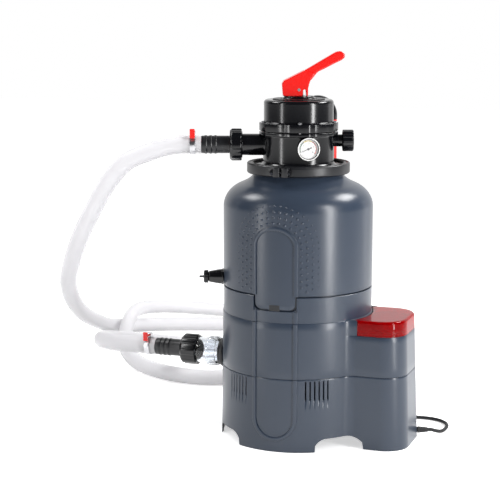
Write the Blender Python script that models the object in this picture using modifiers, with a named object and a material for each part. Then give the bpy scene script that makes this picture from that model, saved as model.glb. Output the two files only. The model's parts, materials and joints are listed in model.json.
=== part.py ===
"""Sand filter unit for a small pool: a round filter tank on a moulded base that holds the pump.

The water goes from the lower left port through the strainer pot to the pump, up the riser behind the
tank to the multiport valve, down through the sand, and out of the valve's left port into the hose.

Metres, +Z up. The origin is on the tank's axis, on the floor. The front panel faces -Y, the pump housing
is at +X and the suction port at -X. The valve is clamped on turned by VALVE_TURN, so the valve and the
cords have a frame of their own, whose +X runs to the valve's blanked port.
"""
import math

import bmesh
import bpy
from mathutils import Matrix, Vector

GAP = 0.0003  # between pieces that touch
FACET = 0.0008  # more room round a piece that is turned in other steps

# the base, the pump housing, the ports and the riser keep their places round the tank's skin
TANK_RADIUS = 0.150
SKIN_IN = 0.010  # a hole through a skin starts this far inside it
SKIN_RUN = 0.030

# base
LEDGE_Z = 0.258  # top of the housing and of the round part's step
BASE_STEP = 0.0015  # the ledge, from the tank's skin outwards
BASE_RADIUS = TANK_RADIUS + BASE_STEP  # round part at the ledge
BASE_DRAFT = 0.012  # how much the round part grows per metre of depth
BASE_WALL = 0.0035
LIP_WALL = 0.0022  # the lower shell's lip inside the upper shell
LIP_HEIGHT = 0.006
PARTING_Z = 0.147
FLOOR_Z = 0.030  # underside of the floor between the feet
FLOOR_THICK = 0.004
HOUSING_REACH = 0.085  # pump housing, from the tank's skin to its end, at the ledge
HOUSING_END = TANK_RADIUS + HOUSING_REACH
HOUSING_HALF = 0.076
HOUSING_CORNER = 0.048
HOUSING_FILLET = 0.028  # where the housing runs into the round part
END_DRAFT = 0.033
SIDE_DRAFT = 0.020
ARCH_HEIGHT = 0.026
ARCH_WIDTH = 0.094
ARCH_ANGLE = math.radians(48.5)  # from the front and from the back
VENT_COUNT = 6
VENT_FIRST = math.radians(23.7)
VENT_PITCH = math.radians(3.4)
VENT_WIDTH = 0.0028
VENT_LOW_Z = 0.105
VENT_HIGH_Z = 0.143

# collar that holds the tank
COLLAR_SHY = 0.0002
COLLAR_RADIUS = TANK_RADIUS - COLLAR_SHY
COLLAR_WALL = 0.0055
SEAT_THICK = 0.004
SEAM_Z = 0.310
SEAM_OPEN = 0.003  # the dark joint line between collar and tank

# front panel, from the base's foot to the tank's shoulder
PANEL_HALF = 0.046
PANEL_RIB = 0.008
PANEL_RAISE = 0.0018
PANEL_LOW_Z = 0.022
PANEL_HIGH_Z = 0.447
PANEL_SPRING_Z = 0.408  # where the arch at the top begins
TONGUE_HALF = 0.041
TONGUE_Z = 0.284
TONGUE_CORNER = 0.012
TONGUE_CLEAR = 0.003

# strainer cover
COVER_Z = 0.228
COVER_WALL = 0.003
COVER_ROUND = 0.005

# tank
TANK_WALL = 0.004
TANK_SHOULDER_Z = 0.470
TANK_SHOULDER_RISE = 0.051
NECK_RADIUS = 0.088
NECK_WALL = 0.006
NECK_FLANGE_RADIUS = 0.096
NECK_TALL = 0.020
NECK_FLANGE_Z = TANK_SHOULDER_Z + TANK_SHOULDER_RISE + NECK_TALL
NECK_FLANGE_THICK = 0.0055
NECK_GASKET = 0.0022
TANK_STEPS = 32

# clamp round the neck
CLAMP_RADIUS = 0.103
CLAMP_LIP = 0.004
CLAMP_SPLIT = 0.004
LUG_WIDE = 0.015
LUG_DEEP = 0.014
LUG_TALL = 0.018
BOLT_RADIUS = 0.003
BOLT_HEAD = 0.0058
BOLT_HEAD_TALL = 0.004

# multiport valve
VALVE_TURN = math.radians(19.5)
VALVE_FLANGE_THICK = 0.004
VALVE_RADIUS = 0.071
VALVE_WALL = 0.005
VALVE_TALL = 0.078  # from the neck's flange to the top of the body's rim
VALVE_TOP_Z = NECK_FLANGE_Z + VALVE_TALL
VALVE_RIM_RADIUS = 0.079
VALVE_RIM_THICK = 0.0065
WEB_DEEP = 0.031
WEB_Z = VALVE_TOP_Z - WEB_DEEP  # top of the plate that the rotor seals on
WEB_THICK = 0.005
WEB_PORT_RADIUS = 0.014
WEB_PORT_CIRCLE = 0.040
LID_GASKET = 0.0016
LID_RIM_THICK = 0.0163
LID_RADIUS = 0.0695
LID_TALL = 0.063
LID_TOP_Z = VALVE_TOP_Z + LID_TALL
LID_WALL = 0.005
LID_BOSS_RADIUS = 0.033
LID_BOSS_TALL = 0.004
SCREW_COUNT = 5
SCREW_CIRCLE = 0.0745
SCREW_RADIUS = 0.0025
SCREW_HEAD = 0.0043
SCREW_HEAD_TALL = 0.0035
SCREW_BLIND = 0.003  # left under each lid screw's hole
ROTOR_RADIUS = 0.060
ROTOR_THICK = 0.009
STEM_RADIUS = 0.009
STEM_TOP_Z = LID_TOP_Z + 0.0305
SPRING_RADIUS = 0.021
SPRING_WIRE = 0.002
SPRING_TURNS = 6
PLATE_INNER = 0.036
PLATE_OUTER = 0.052
PLATE_THICK = 0.0015
WASHER_RADIUS = 0.030
WASHER_THICK = 0.0027
PIN_RADIUS = 0.003
PIN_Z = LID_TOP_Z + 0.0195
LEVER_HALF = 0.018
LEVER_GRIP_HALF = 0.011
FORK_HALF = 0.0098

# valve ports
PORT_Z = WEB_Z + 0.004
RETURN_RADIUS = 0.0215
RETURN_BORE = 0.016
RETURN_REACH = 0.125
UNION_BOSS = 0.0265
UNION_RADIUS = 0.032
UNION_LENGTH = 0.024
WASTE_Z = WEB_Z + 0.012
WASTE_RADIUS = 0.0122
WASTE_BORE = 0.008
WASTE_REACH = 0.103
WASTE_CAP_RADIUS = 0.0215
WASTE_CAP_LENGTH = 0.022
PUMP_PORT_RADIUS = 0.018
PUMP_PORT_REACH = 0.100
PIPE_BORE = 0.0137
TAIL_RADIUS = 0.0176  # the wide barbs, left bare
TAIL_STEP = 0.0142  # the narrow end inside the hose
TAIL_BORE = 0.0115
BARB = 0.0012

# gauge
GAUGE_ANGLE = math.radians(12)
GAUGE_Z = WEB_Z + 0.002
GAUGE_RADIUS = 0.022
GAUGE_DEPTH = 0.0135
GAUGE_WALL = 0.0016
GAUGE_STEM = 0.005
GAUGE_STEPS = 24
NEEDLE_REACH = 0.0135
NEEDLE_TAIL = 0.0075
NEEDLE_REST = math.radians(203)  # where it points at no pressure, from the dial's right

# riser behind the tank, in the valve's frame
RISER_X = 0.068
RISER_BACK = 0.008  # from the tank's skin back to the riser's middle
RISER_Y = TANK_RADIUS + RISER_BACK
SWAN_X = 0.022
RISER_RADIUS = 0.0175
RISER_WALL = 0.0035
SWAN_Z = PORT_Z + 0.047  # where the swan neck's arc begins
RISER_TOP_Z = PORT_Z + 0.038
RISER_LOW_Z = 0.207

# suction port, along -X
SUCTION_Z = 0.155
SUCTION_PIPE = 0.019
SUCTION_BORE = 0.016
SUCTION_FLANGE = 0.032
SIGHT_RADIUS = 0.027
SIGHT_NUT_RADIUS = 0.0306
SIGHT_START = TANK_RADIUS + 0.016
SIGHT_LENGTH = 0.072
SIGHT_REACH = SIGHT_START + SIGHT_LENGTH
SIGHT_UNION = 0.023  # length of the sight tube's end inside the union nut
SIGHT_NUT_IN = 0.005  # from the sight tube's start to its nut
SIGHT_NUT_LENGTH = 0.021

# strainer pot, pump and motor
POT_OUT = 0.043  # from the tank's skin to the pot's middle
POT_X = TANK_RADIUS + POT_OUT
POT_RADIUS = 0.0325
POT_WALL = 0.003
POT_LOW_Z = 0.066
POT_FLANGE_RADIUS = 0.0365
POT_FLANGE_THICK = 0.0035
POT_GASKET = 0.002
BASKET_RADIUS = 0.028
BASKET_WALL = 0.0016
PUMP_Z = 0.088
CASING_RADIUS = 0.044
CASING_WALL = 0.006
CASING_LEFT = 0.070
CASING_RIGHT = 0.112
INLET_RADIUS = 0.017
IMPELLER_RADIUS = 0.034
SHAFT_RADIUS = 0.005
MOTOR_RADIUS = 0.042
MOTOR_LEFT = -0.075
OUTLET_Y = 0.036

# inside the tank
STANDPIPE_RADIUS = 0.0200
STANDPIPE_BORE = 0.0170
HUB_LOW_Z = 0.2668
HUB_TALL = 0.036
HUB_RADIUS = 0.030
LATERAL_COUNT = 8
LATERAL_RADIUS = 0.0065
LATERAL_SHORT = 0.038  # left between a lateral's end and the tank's skin
LATERAL_REACH = TANK_RADIUS - LATERAL_SHORT

# drain on the tank's left
DRAIN_Z = 0.324
DRAIN_RADIUS = 0.015
DRAIN_SPIGOT = 0.009
DRAIN_REACH = 0.0385

# cords
HOSE_RADIUS = 0.018
HOSE_WALL = 0.002
HOSE_STEP = 0.100  # distance between the tube's points
LEAD_RADIUS = 0.0035
LEAD_STEP = 0.015
COIL_CENTRE = (0.178, 0.140)
COIL_RADIUS = 0.050
COIL_PITCH = 0.0082
COIL_TURNS = 5.25
COIL_LOOP_POINTS = 24
PLUG_RADIUS = 0.017
PLUG_LENGTH = 0.040
RELIEF_LENGTH = 0.022
RELIEF_Z = 0.0125


# ------------------------------------------------------------------ helpers
for old in list(bpy.data.objects):
    bpy.data.objects.remove(old, do_unlink=True)

PARTS = bpy.data.collections.new("sand_filter")
CUTTERS = bpy.data.collections.new("cutters")
bpy.context.scene.collection.children.link(PARTS)
bpy.context.scene.collection.children.link(CUTTERS)

FINISHES = {
    "grey_abs": ((0.105, 0.125, 0.160, 1), 0.45, 0.0),
    "valve_black": ((0.010, 0.011, 0.013, 1), 0.25, 0.0),
    "matt_black": ((0.014, 0.014, 0.016, 1), 0.55, 0.0),
    "red_gloss": ((0.75, 0.030, 0.020, 1), 0.25, 0.0),
    "red_clear": ((0.50, 0.006, 0.010, 1), 0.10, 0.0),
    "clear": ((0.85, 0.87, 0.90, 1), 0.10, 0.0),
    "steel": ((0.60, 0.60, 0.62, 1), 0.30, 1.0),
    "rubber": ((0.012, 0.012, 0.012, 1), 0.70, 0.0),
    "dial_white": ((0.80, 0.80, 0.80, 1), 0.40, 0.0),
}


def finish(name):
    material = bpy.data.materials.get(name)
    if material is None:
        colour, roughness, metallic = FINISHES[name]
        material = bpy.data.materials.new(name)
        material.use_nodes = True
        shader = material.node_tree.nodes["Principled BSDF"]
        shader.inputs["Base Color"].default_value = colour
        shader.inputs["Roughness"].default_value = roughness
        shader.inputs["Metallic"].default_value = metallic
    return material


def add(name, mesh, material, parent=None, matrix=None):
    """Puts a mesh in the scene as a part, or as a cutter where material is None."""
    obj = bpy.data.objects.new(name, mesh)
    if material is None:
        CUTTERS.objects.link(obj)
        obj.hide_render = True
        obj.display_type = "WIRE"
    else:
        PARTS.objects.link(obj)
        if obj.type == "MESH":
            mesh.materials.clear()
        mesh.materials.append(finish(material))
    obj.parent = parent
    if matrix is not None:
        obj.matrix_local = matrix
    return obj


def along(origin, axis, twist=0.0):
    """The matrix that puts a piece's +Z along axis, with its zero at origin."""
    turn = Vector((0, 0, 1)).rotation_difference(Vector(axis).normalized()).to_matrix().to_4x4()
    return Matrix.Translation(Vector(origin)) @ turn @ Matrix.Rotation(twist, 4, "Z")


def mesh_from(bm, name):
    bmesh.ops.recalc_face_normals(bm, faces=bm.faces)
    mesh = bpy.data.meshes.new(name)
    bm.to_mesh(mesh)
    bm.free()
    mesh.shade_smooth()
    mesh.set_sharp_from_angle(angle=math.radians(32))
    return mesh


def turned(name, profile, material, parent=None, matrix=None, steps=20):
    """A turned shape from (radius, height) points: open if it starts and ends on the axis, else a ring."""
    area = sum(a[0] * b[1] - b[0] * a[1] for a, b in zip(profile, profile[1:] + profile[:1]))
    points = profile[::-1] if area > 0 else list(profile)  # so that the outer side runs downwards
    solid = points[0][0] == 0 and points[-1][0] == 0
    count = len(points)
    edges = [(i, i + 1) for i in range(count - 1)]
    if not solid:
        edges.append((count - 1, 0))
    mesh = bpy.data.meshes.new(name)
    mesh.from_pydata([(radius, 0, height) for radius, height in points], edges, [])
    obj = add(name, mesh, material, parent, matrix)
    screw = obj.modifiers.new("turn", "SCREW")
    screw.steps = screw.render_steps = steps
    screw.use_merge_vertices = True
    screw.merge_threshold = 0.00001
    screw.use_smooth_shade = True
    return obj


def box(name, low, high, material, parent=None, matrix=None):
    bm = bmesh.new()
    bmesh.ops.create_cube(bm, size=1)
    size = Vector(high) - Vector(low)
    middle = (Vector(high) + Vector(low)) / 2
    bmesh.ops.transform(bm, matrix=Matrix.Translation(middle) @ Matrix.Diagonal((*size, 1)), verts=bm.verts)
    return add(name, mesh_from(bm, name), material, parent, matrix)


def cylinder(name, radius, length, material=None, parent=None, matrix=None, steps=14):
    """A cylinder from its zero along +Z."""
    return turned(name, [(0, 0), (radius, 0), (radius, length), (0, length)], material, parent, matrix, steps)


def prism(name, outline, thickness, material=None, parent=None, matrix=None):
    """An outline of (x, y) points, extruded to both sides of its plane."""
    bm = bmesh.new()
    face = bm.faces.new([bm.verts.new((x, y, -thickness / 2)) for x, y in outline])
    made = bmesh.ops.extrude_face_region(bm, geom=[face])["geom"]
    moved = [item for item in made if isinstance(item, bmesh.types.BMVert)]
    bmesh.ops.translate(bm, vec=(0, 0, thickness), verts=moved)
    return add(name, mesh_from(bm, name), material, parent, matrix)


def loft(name, rings, material, closed=False, parent=None):
    """Joins rings of the same number of points; the first and last are capped unless closed."""
    bm = bmesh.new()
    made = [[bm.verts.new(point) for point in ring] for ring in rings]
    count = len(rings[0])
    pairs = list(zip(made, made[1:]))
    if closed:
        pairs.append((made[-1], made[0]))
    for low, high in pairs:
        for i in range(count):
            j = (i + 1) % count
            bm.faces.new((low[i], low[j], high[j], high[i]))
    if not closed:
        bm.faces.new(made[0])
        bm.faces.new(made[-1])
    bmesh.ops.remove_doubles(bm, verts=bm.verts, dist=0.000002)
    return add(name, mesh_from(bm, name), material, parent)


def combine(obj, other, operation="DIFFERENCE"):
    modifier = obj.modifiers.new(f"{operation.lower()}_{other.name}", "BOOLEAN")
    modifier.object = other
    modifier.operation = operation
    modifier.solver = "EXACT"


def curve(name, points, radius, material, resolution=2, radii=None, caps=True, parent=None):
    """A tube along a list of points."""
    data = bpy.data.curves.new(name, "CURVE")
    data.dimensions = "3D"
    data.bevel_depth = radius
    data.bevel_resolution = resolution
    data.use_fill_caps = caps
    spline = data.splines.new("POLY")
    spline.points.add(len(points) - 1)
    for i, point in enumerate(points):
        spline.points[i].co = (*point, 1)
        spline.points[i].radius = radii[i] if radii else 1.0
    return add(name, data, material, parent)


def tube_mesh(name, points, radius, material, resolution=2, radii=None, wall=None, parent=None):
    """The same tube as a mesh, for joining and cutting, or with a bore where wall is given."""
    guide = curve(name + "_guide", points, radius, "rubber", resolution, radii, wall is None)
    bpy.context.view_layer.update()
    graph = bpy.context.evaluated_depsgraph_get()
    mesh = bpy.data.meshes.new_from_object(guide.evaluated_get(graph))
    bpy.data.objects.remove(guide, do_unlink=True)
    mesh.name = name
    bm = bmesh.new()
    bm.from_mesh(mesh)
    bmesh.ops.remove_doubles(bm, verts=bm.verts, dist=0.00001)
    bmesh.ops.recalc_face_normals(bm, faces=bm.faces)
    bm.to_mesh(mesh)
    bm.free()
    obj = add(name, mesh, material, parent)
    if wall is not None:
        shell = obj.modifiers.new("wall", "SOLIDIFY")
        shell.thickness = wall
        shell.offset = -1
    return obj


def arc(centre, radius, start, end, count):
    """count points on a circle, (x, y), from one angle to another."""
    turn = [start + (end - start) * i / (count - 1) for i in range(count)]
    return [(centre[0] + radius * math.cos(a), centre[1] + radius * math.sin(a)) for a in turn]


def smooth(points, step):
    """Points about step apart on one smooth curve through the given points."""
    ends = [points[0] * 2 - points[1], *points, points[-1] * 2 - points[-2]]
    fine = [points[0]]
    for a, b, c, d in zip(ends, ends[1:], ends[2:], ends[3:]):
        for i in range(1, 13):
            t = i / 12
            fine.append(
                (b * 2 + (c - a) * t + (a * 2 - b * 5 + c * 4 - d) * t * t + (b * 3 - a - c * 3 + d) * t**3) / 2
            )
    lengths = [(q - p).length for p, q in zip(fine, fine[1:])]
    count = max(2, round(sum(lengths) / step))
    out, travelled, k = [fine[0]], 0.0, 0
    for i in range(1, count):
        wanted = sum(lengths) * i / count
        while travelled + lengths[k] < wanted:
            travelled += lengths[k]
            k += 1
        out.append(fine[k].lerp(fine[k + 1], (wanted - travelled) / lengths[k]))
    return [*out, fine[-1]]


def least_gap(points, radius, apart):
    """The least distance between two stretches of a tube that are at least apart points from each other."""
    gaps = [(p - q).length for i, p in enumerate(points) for q in points[i + apart :]]
    return min(gaps) - 2 * radius


valve_frame = bpy.data.objects.new("valve_frame", None)
PARTS.objects.link(valve_frame)
valve_frame.rotation_euler.z = VALVE_TURN
TURN = Matrix.Rotation(VALVE_TURN, 4, "Z")


# ------------------------------------------------------------------ base shells
CORNER_POINTS, FILLET_POINTS, ROUND_POINTS = 6, 4, 29


def base_ring(kind, inset, z):
    """One ring of the base's outline at height z, inset from the outer skin.

    full: the round part and the pump housing. stub: the round part with the two fillets, cut off where the
    strainer cover begins. Any number: a plain circle of that radius. All have the same count of points.
    """
    depth = LEDGE_Z - z
    big = BASE_RADIUS + depth * BASE_DRAFT - inset
    half = HOUSING_HALF + depth * SIDE_DRAFT - inset
    end = HOUSING_END + depth * END_DRAFT - inset
    corner = HOUSING_CORNER - inset
    fillet = HOUSING_FILLET + inset
    rise = half + fillet
    reach = math.sqrt((big + fillet) ** 2 - rise**2)
    meet = math.atan2(rise, reach)
    cut = math.atan2(half, reach)
    if kind == "full":
        front = arc((end - corner, half - corner), corner, 0, math.pi / 2, CORNER_POINTS)
    else:
        front = arc((0, 0), big, 0, cut, CORNER_POINTS)
    side = arc((reach, rise), fillet, -math.pi / 2, meet - math.pi, FILLET_POINTS)
    back = arc((0, 0), big, meet, 2 * math.pi - meet, ROUND_POINTS)[1:-1]
    points = front + side + back + [(x, -y) for x, y in (front[1:] + side)[::-1]]
    if kind != "full" and kind != "stub":
        turns = [math.atan2(y, x) for x, y in points]
        points = [(kind * math.cos(a), kind * math.sin(a)) for a in turns]
    if kind == "full":
        points = [(end, 0)] + points[1:] if abs(half - corner) < 0.0001 else points
    return [(x, y, z) for x, y in points]


deck_z = COVER_Z - GAP
collar_bore = COLLAR_RADIUS - COLLAR_WALL
seat_z = LEDGE_Z + SEAT_THICK
collar_top = SEAM_Z - SEAM_OPEN / 2
low_top = PARTING_Z - GAP / 2
high_low = PARTING_Z + GAP / 2
lip_out = BASE_WALL + GAP
lip_in = lip_out + LIP_WALL

base_lower = loft(
    "base_lower",
    [
        base_ring("full", BASE_WALL, FLOOR_Z),
        base_ring("full", BASE_WALL, 0),
        base_ring("full", 0, 0),
        base_ring("full", 0, low_top),
        base_ring("full", lip_out, low_top),
        base_ring("full", lip_out, PARTING_Z + LIP_HEIGHT),
        base_ring("full", lip_in, PARTING_Z + LIP_HEIGHT),
        base_ring("full", lip_in, PARTING_Z - 2 * LIP_HEIGHT),
        base_ring("full", BASE_WALL, PARTING_Z - 3 * LIP_HEIGHT),
        base_ring("full", BASE_WALL, FLOOR_Z + FLOOR_THICK),
    ],
    "grey_abs",
)
base_upper = loft(
    "base_upper",
    [
        base_ring(collar_bore, 0, seat_z),
        base_ring(collar_bore, 0, collar_top),
        base_ring(COLLAR_RADIUS, 0, collar_top),
        base_ring(COLLAR_RADIUS, 0, LEDGE_Z),
        base_ring("stub", 0, LEDGE_Z),
        base_ring("stub", 0, deck_z),
        base_ring("full", 0, deck_z),
        base_ring("full", 0, high_low),
        base_ring("full", BASE_WALL, high_low),
        base_ring("full", BASE_WALL, deck_z - BASE_WALL),
        base_ring(collar_bore, 0, deck_z - BASE_WALL),
        base_ring(collar_bore, 0, LEDGE_Z),
    ],
    "grey_abs",
)


def facing(angle, radius, z):
    """A matrix at radius and height z, at angle from the front (-Y) towards +X: X sideways, Y up, Z outwards."""
    out = Vector((math.sin(angle), -math.cos(angle), 0))
    side = Vector((math.cos(angle), math.sin(angle), 0))
    turn = Matrix((side, Vector((0, 0, 1)), out)).transposed().to_4x4()
    return Matrix.Translation((out * radius) + Vector((0, 0, z))) @ turn


arch = [(-ARCH_WIDTH / 2, -0.005), (ARCH_WIDTH / 2, -0.005)]
arch += arc((ARCH_WIDTH / 2 - ARCH_HEIGHT * 0.9, 0), ARCH_HEIGHT, math.radians(26), math.pi / 2, 5)
arch += arc((-ARCH_WIDTH / 2 + ARCH_HEIGHT * 0.9, 0), ARCH_HEIGHT, math.pi / 2, math.radians(154), 5)
for number, angle in enumerate((-ARCH_ANGLE, ARCH_ANGLE, math.pi - ARCH_ANGLE, math.pi + ARCH_ANGLE)):
    cutter = prism(f"foot_arch_{number}", arch, 0.06, None, None, facing(angle, BASE_RADIUS, 0))
    combine(base_lower, cutter)

vents = bmesh.new()
for side in (-1, 1):
    for number in range(VENT_COUNT):
        angle = side * (VENT_FIRST + VENT_PITCH * number)
        place = facing(angle, BASE_RADIUS, (VENT_LOW_Z + VENT_HIGH_Z) / 2)
        size = Matrix.Diagonal((VENT_WIDTH, VENT_HIGH_Z - VENT_LOW_Z, 0.03, 1))
        bmesh.ops.create_cube(vents, size=1, matrix=place @ size)
combine(base_lower, add("vent_slots", mesh_from(vents, "vent_slots"), None))


def racetrack(half, low, spring, high, count=7):
    """The panel's outline: a round foot, straight sides and an arch that is half as high as it is wide."""
    foot = arc((0, low + half), half, math.pi, 2 * math.pi, count)
    turn = [math.pi * i / (count - 1) for i in range(count)]
    head = [(half * math.cos(a), spring + (high - spring) * math.sin(a)) for a in turn]
    return foot + head


def panel_rib(name, skin):
    """The part of the panel's raised border that lies in one piece's skin."""
    flat = Matrix.Translation((0, -TANK_RADIUS, 0)) @ Matrix.Rotation(math.pi / 2, 4, "X")
    outer = racetrack(PANEL_HALF, PANEL_LOW_Z, PANEL_SPRING_Z, PANEL_HIGH_Z)
    inner = racetrack(
        PANEL_HALF - PANEL_RIB, PANEL_LOW_Z + PANEL_RIB, PANEL_SPRING_Z, PANEL_HIGH_Z - PANEL_RIB
    )
    border = prism(name + "_border", outer, 0.08, None, None, flat)
    combine(border, prism(name + "_inside", inner, 0.09, None, None, flat))
    combine(skin, border, "INTERSECT")
    return skin


half_wall = BASE_WALL / 2
lower_skin = loft(
    "lower_skin",
    [
        base_ring("full", half_wall, PANEL_LOW_Z / 2),
        base_ring("full", -PANEL_RAISE, PANEL_LOW_Z / 2),
        base_ring("full", -PANEL_RAISE, low_top),
        base_ring("full", half_wall, low_top),
    ],
    None,
    closed=True,
)
combine(base_lower, panel_rib("lower_rib", lower_skin), "UNION")
upper_skin = loft(
    "upper_skin",
    [
        base_ring("stub", half_wall, high_low),
        base_ring("stub", -PANEL_RAISE, high_low),
        base_ring("stub", -PANEL_RAISE, LEDGE_Z),
        base_ring(COLLAR_RADIUS + PANEL_RAISE, 0, LEDGE_Z),
        base_ring(COLLAR_RADIUS + PANEL_RAISE, 0, collar_top),
        base_ring(COLLAR_RADIUS - half_wall, 0, collar_top),
    ],
    None,
    closed=True,
)
combine(base_upper, panel_rib("upper_rib", upper_skin), "UNION")


def tongue_outline(grow):
    half, low, corner = TONGUE_HALF + grow, TONGUE_Z - grow, TONGUE_CORNER
    left = arc((-half + corner, low + corner), corner, math.pi, 1.5 * math.pi, 4)
    right = arc((half - corner, low + corner), corner, 1.5 * math.pi, 2 * math.pi, 4)
    return left + right + [(half, SEAM_Z + 0.012), (-half, SEAM_Z + 0.012)]


front_flat = Matrix.Translation((0, -TANK_RADIUS, 0)) @ Matrix.Rotation(math.pi / 2, 4, "X")
combine(base_upper, prism("tongue_notch", tongue_outline(TONGUE_CLEAR), 0.05, None, None, front_flat))
combine(base_upper, cylinder("pot_hole", POT_RADIUS + GAP, 0.02, None, None, along((POT_X, 0, deck_z - 0.01), (0, 0, 1)), 32))
suction_hole = cylinder("suction_hole", SUCTION_PIPE + GAP, SKIN_RUN, None, None, along((SKIN_IN - TANK_RADIUS, 0, SUCTION_Z), (-1, 0, 0)), 16)
combine(base_upper, suction_hole)
combine(base_lower, suction_hole)

# notch in the housing's rounded corner where the lead leaves
end_low = HOUSING_END + LEDGE_Z * END_DRAFT
half_low = HOUSING_HALF + LEDGE_Z * SIDE_DRAFT
out_x, out_y = math.cos(VALVE_TURN), math.sin(VALVE_TURN)
exit_x = end_low - HOUSING_CORNER + HOUSING_CORNER * out_x
exit_y = half_low - HOUSING_CORNER + HOUSING_CORNER * out_y
relief_place = along((exit_x, exit_y, RELIEF_Z), (out_x, out_y, 0))
NOTCH_HALF = 0.0056
notch = [(-NOTCH_HALF, -0.02), (NOTCH_HALF, -0.02)] + arc((0, RELIEF_Z), NOTCH_HALF, 0, math.pi, 7)
notch_place = Matrix.Translation((exit_x, exit_y, 0)) @ Matrix.Rotation(VALVE_TURN, 4, "Z")
notch_place = notch_place @ Matrix.Rotation(math.pi / 2, 4, "Z") @ Matrix.Rotation(math.pi / 2, 4, "X")
combine(base_lower, prism("lead_notch", notch, 0.03, None, None, notch_place))

# ------------------------------------------------------------------ strainer cover


def cover_ring(inset, z):
    """The cover's outline: the housing's end and sides, and an arc along the round part."""
    depth = LEDGE_Z - z
    end = HOUSING_END + depth * END_DRAFT
    half = HOUSING_HALF + depth * SIDE_DRAFT
    big = BASE_RADIUS + depth * BASE_DRAFT
    fillet = HOUSING_FILLET
    reach = math.sqrt((big + fillet) ** 2 - (half + fillet) ** 2)
    near = big + 2 * GAP + inset
    cut = math.atan2(half, reach) - (2 * GAP + inset) / near
    front = arc((end - HOUSING_CORNER, half - HOUSING_CORNER), HOUSING_CORNER - inset, 0, math.pi / 2, 7)
    side = [((half - inset) / math.tan(cut), half - inset)]
    back = arc((0, 0), near, cut, -cut, 9)
    points = front + side + back + [(x, -y) for x, y in (front + side)[::-1]]
    return [(x, y, z) for x, y in points]


strainer_cover = loft(
    "strainer_cover",
    [
        cover_ring(COVER_ROUND, LEDGE_Z),
        cover_ring(COVER_ROUND * 0.29, LEDGE_Z - COVER_ROUND * 0.29),
        cover_ring(0, LEDGE_Z - COVER_ROUND),
        cover_ring(0, COVER_Z),
        cover_ring(COVER_WALL, COVER_Z),
        cover_ring(COVER_WALL, LEDGE_Z - COVER_WALL - 0.001),
    ],
    "red_clear",
)
flange_top = COVER_Z + POT_FLANGE_THICK
gasket_top = flange_top + GAP + POT_GASKET
combine(
    strainer_cover,
    turned(
        "cover_seal_ring",
        [
            (POT_RADIUS - POT_WALL + 0.0015, gasket_top + GAP),
            (POT_FLANGE_RADIUS - 0.0006, gasket_top + GAP),
            (POT_FLANGE_RADIUS - 0.0006, LEDGE_Z - COVER_WALL / 2),
            (POT_RADIUS - POT_WALL + 0.0015, LEDGE_Z - COVER_WALL / 2),
        ],
        None,
        None,
        along((POT_X, 0, 0), (0, 0, 1)),
        16,
    ),
    "UNION",
)

# ------------------------------------------------------------------ strainer pot and basket
pot_inner = POT_RADIUS - POT_WALL
strainer_pot = turned(
    "strainer_pot",
    [
        (0, POT_LOW_Z + POT_WALL),
        (pot_inner, POT_LOW_Z + POT_WALL),
        (pot_inner, flange_top),
        (POT_FLANGE_RADIUS, flange_top),
        (POT_FLANGE_RADIUS, COVER_Z),
        (POT_RADIUS, COVER_Z),
        (POT_RADIUS, POT_LOW_Z + 0.004),
        (POT_RADIUS - 0.004, POT_LOW_Z),
        (0, POT_LOW_Z),
    ],
    "matt_black",
    None,
    along((POT_X, 0, 0), (0, 0, 1)),
    16,
)
for name, bore, z in (("pot_inlet", SUCTION_BORE, SUCTION_Z), ("pot_outlet", INLET_RADIUS - 0.004, PUMP_Z)):
    combine(strainer_pot, cylinder(name, bore, 0.03, None, None, along((POT_X - POT_RADIUS + 0.02, 0, z), (-1, 0, 0)), 16))
turned(
    "pot_gasket",
    [
        (pot_inner + 0.001, flange_top + GAP),
        (POT_FLANGE_RADIUS, flange_top + GAP),
        (POT_FLANGE_RADIUS, gasket_top),
        (pot_inner + 0.001, gasket_top),
    ],
    "rubber",
    None,
    along((POT_X, 0, 0), (0, 0, 1)),
    16,
)
basket_low = SUCTION_Z - 0.045
basket_top = flange_top - 0.001
strainer_basket = turned(
    "strainer_basket",
    [
        (0, basket_low + BASKET_WALL),
        (BASKET_RADIUS - 0.004 - BASKET_WALL, basket_low + BASKET_WALL),
        (BASKET_RADIUS - BASKET_WALL, basket_top - 0.003),
        (BASKET_RADIUS - BASKET_WALL, basket_top),
        (pot_inner - GAP, basket_top),
        (pot_inner - GAP, basket_top - 0.003),
        (BASKET_RADIUS, basket_top - 0.004),
        (BASKET_RADIUS - 0.004, basket_low),
        (0, basket_low),
    ],
    "dial_white",
    None,
    along((POT_X, 0, 0), (0, 0, 1)),
    16,
)
slots = bmesh.new()
for number in range(6):
    turn = Matrix.Translation((POT_X, 0, 0)) @ Matrix.Rotation(math.radians(15 + 30 * number), 4, "Z")
    size = Matrix.Diagonal((0.08, 0.004, 0.085, 1))
    bmesh.ops.create_cube(slots, size=1, matrix=turn @ Matrix.Translation((0, 0, basket_low + 0.055)) @ size)
basket_slots = add("basket_slots", mesh_from(slots, "basket_slots"), None)
combine(basket_slots, cylinder("basket_core", BASKET_RADIUS - 0.008, 0.2, None, None, along((POT_X, 0, basket_low - 0.02), (0, 0, 1)), 24))
combine(strainer_basket, basket_slots)
handle_path = [(POT_X, y, z) for y, z in arc((0, basket_top - 0.004), BASKET_RADIUS - 0.001, 0, math.pi, 9)]
handle_path = [(x, y, basket_top - 0.002 + (z - basket_top + 0.004) * 0.5) for x, y, z in handle_path]
combine(strainer_basket, tube_mesh("basket_handle", handle_path, 0.0018, None, 0), "UNION")

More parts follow.
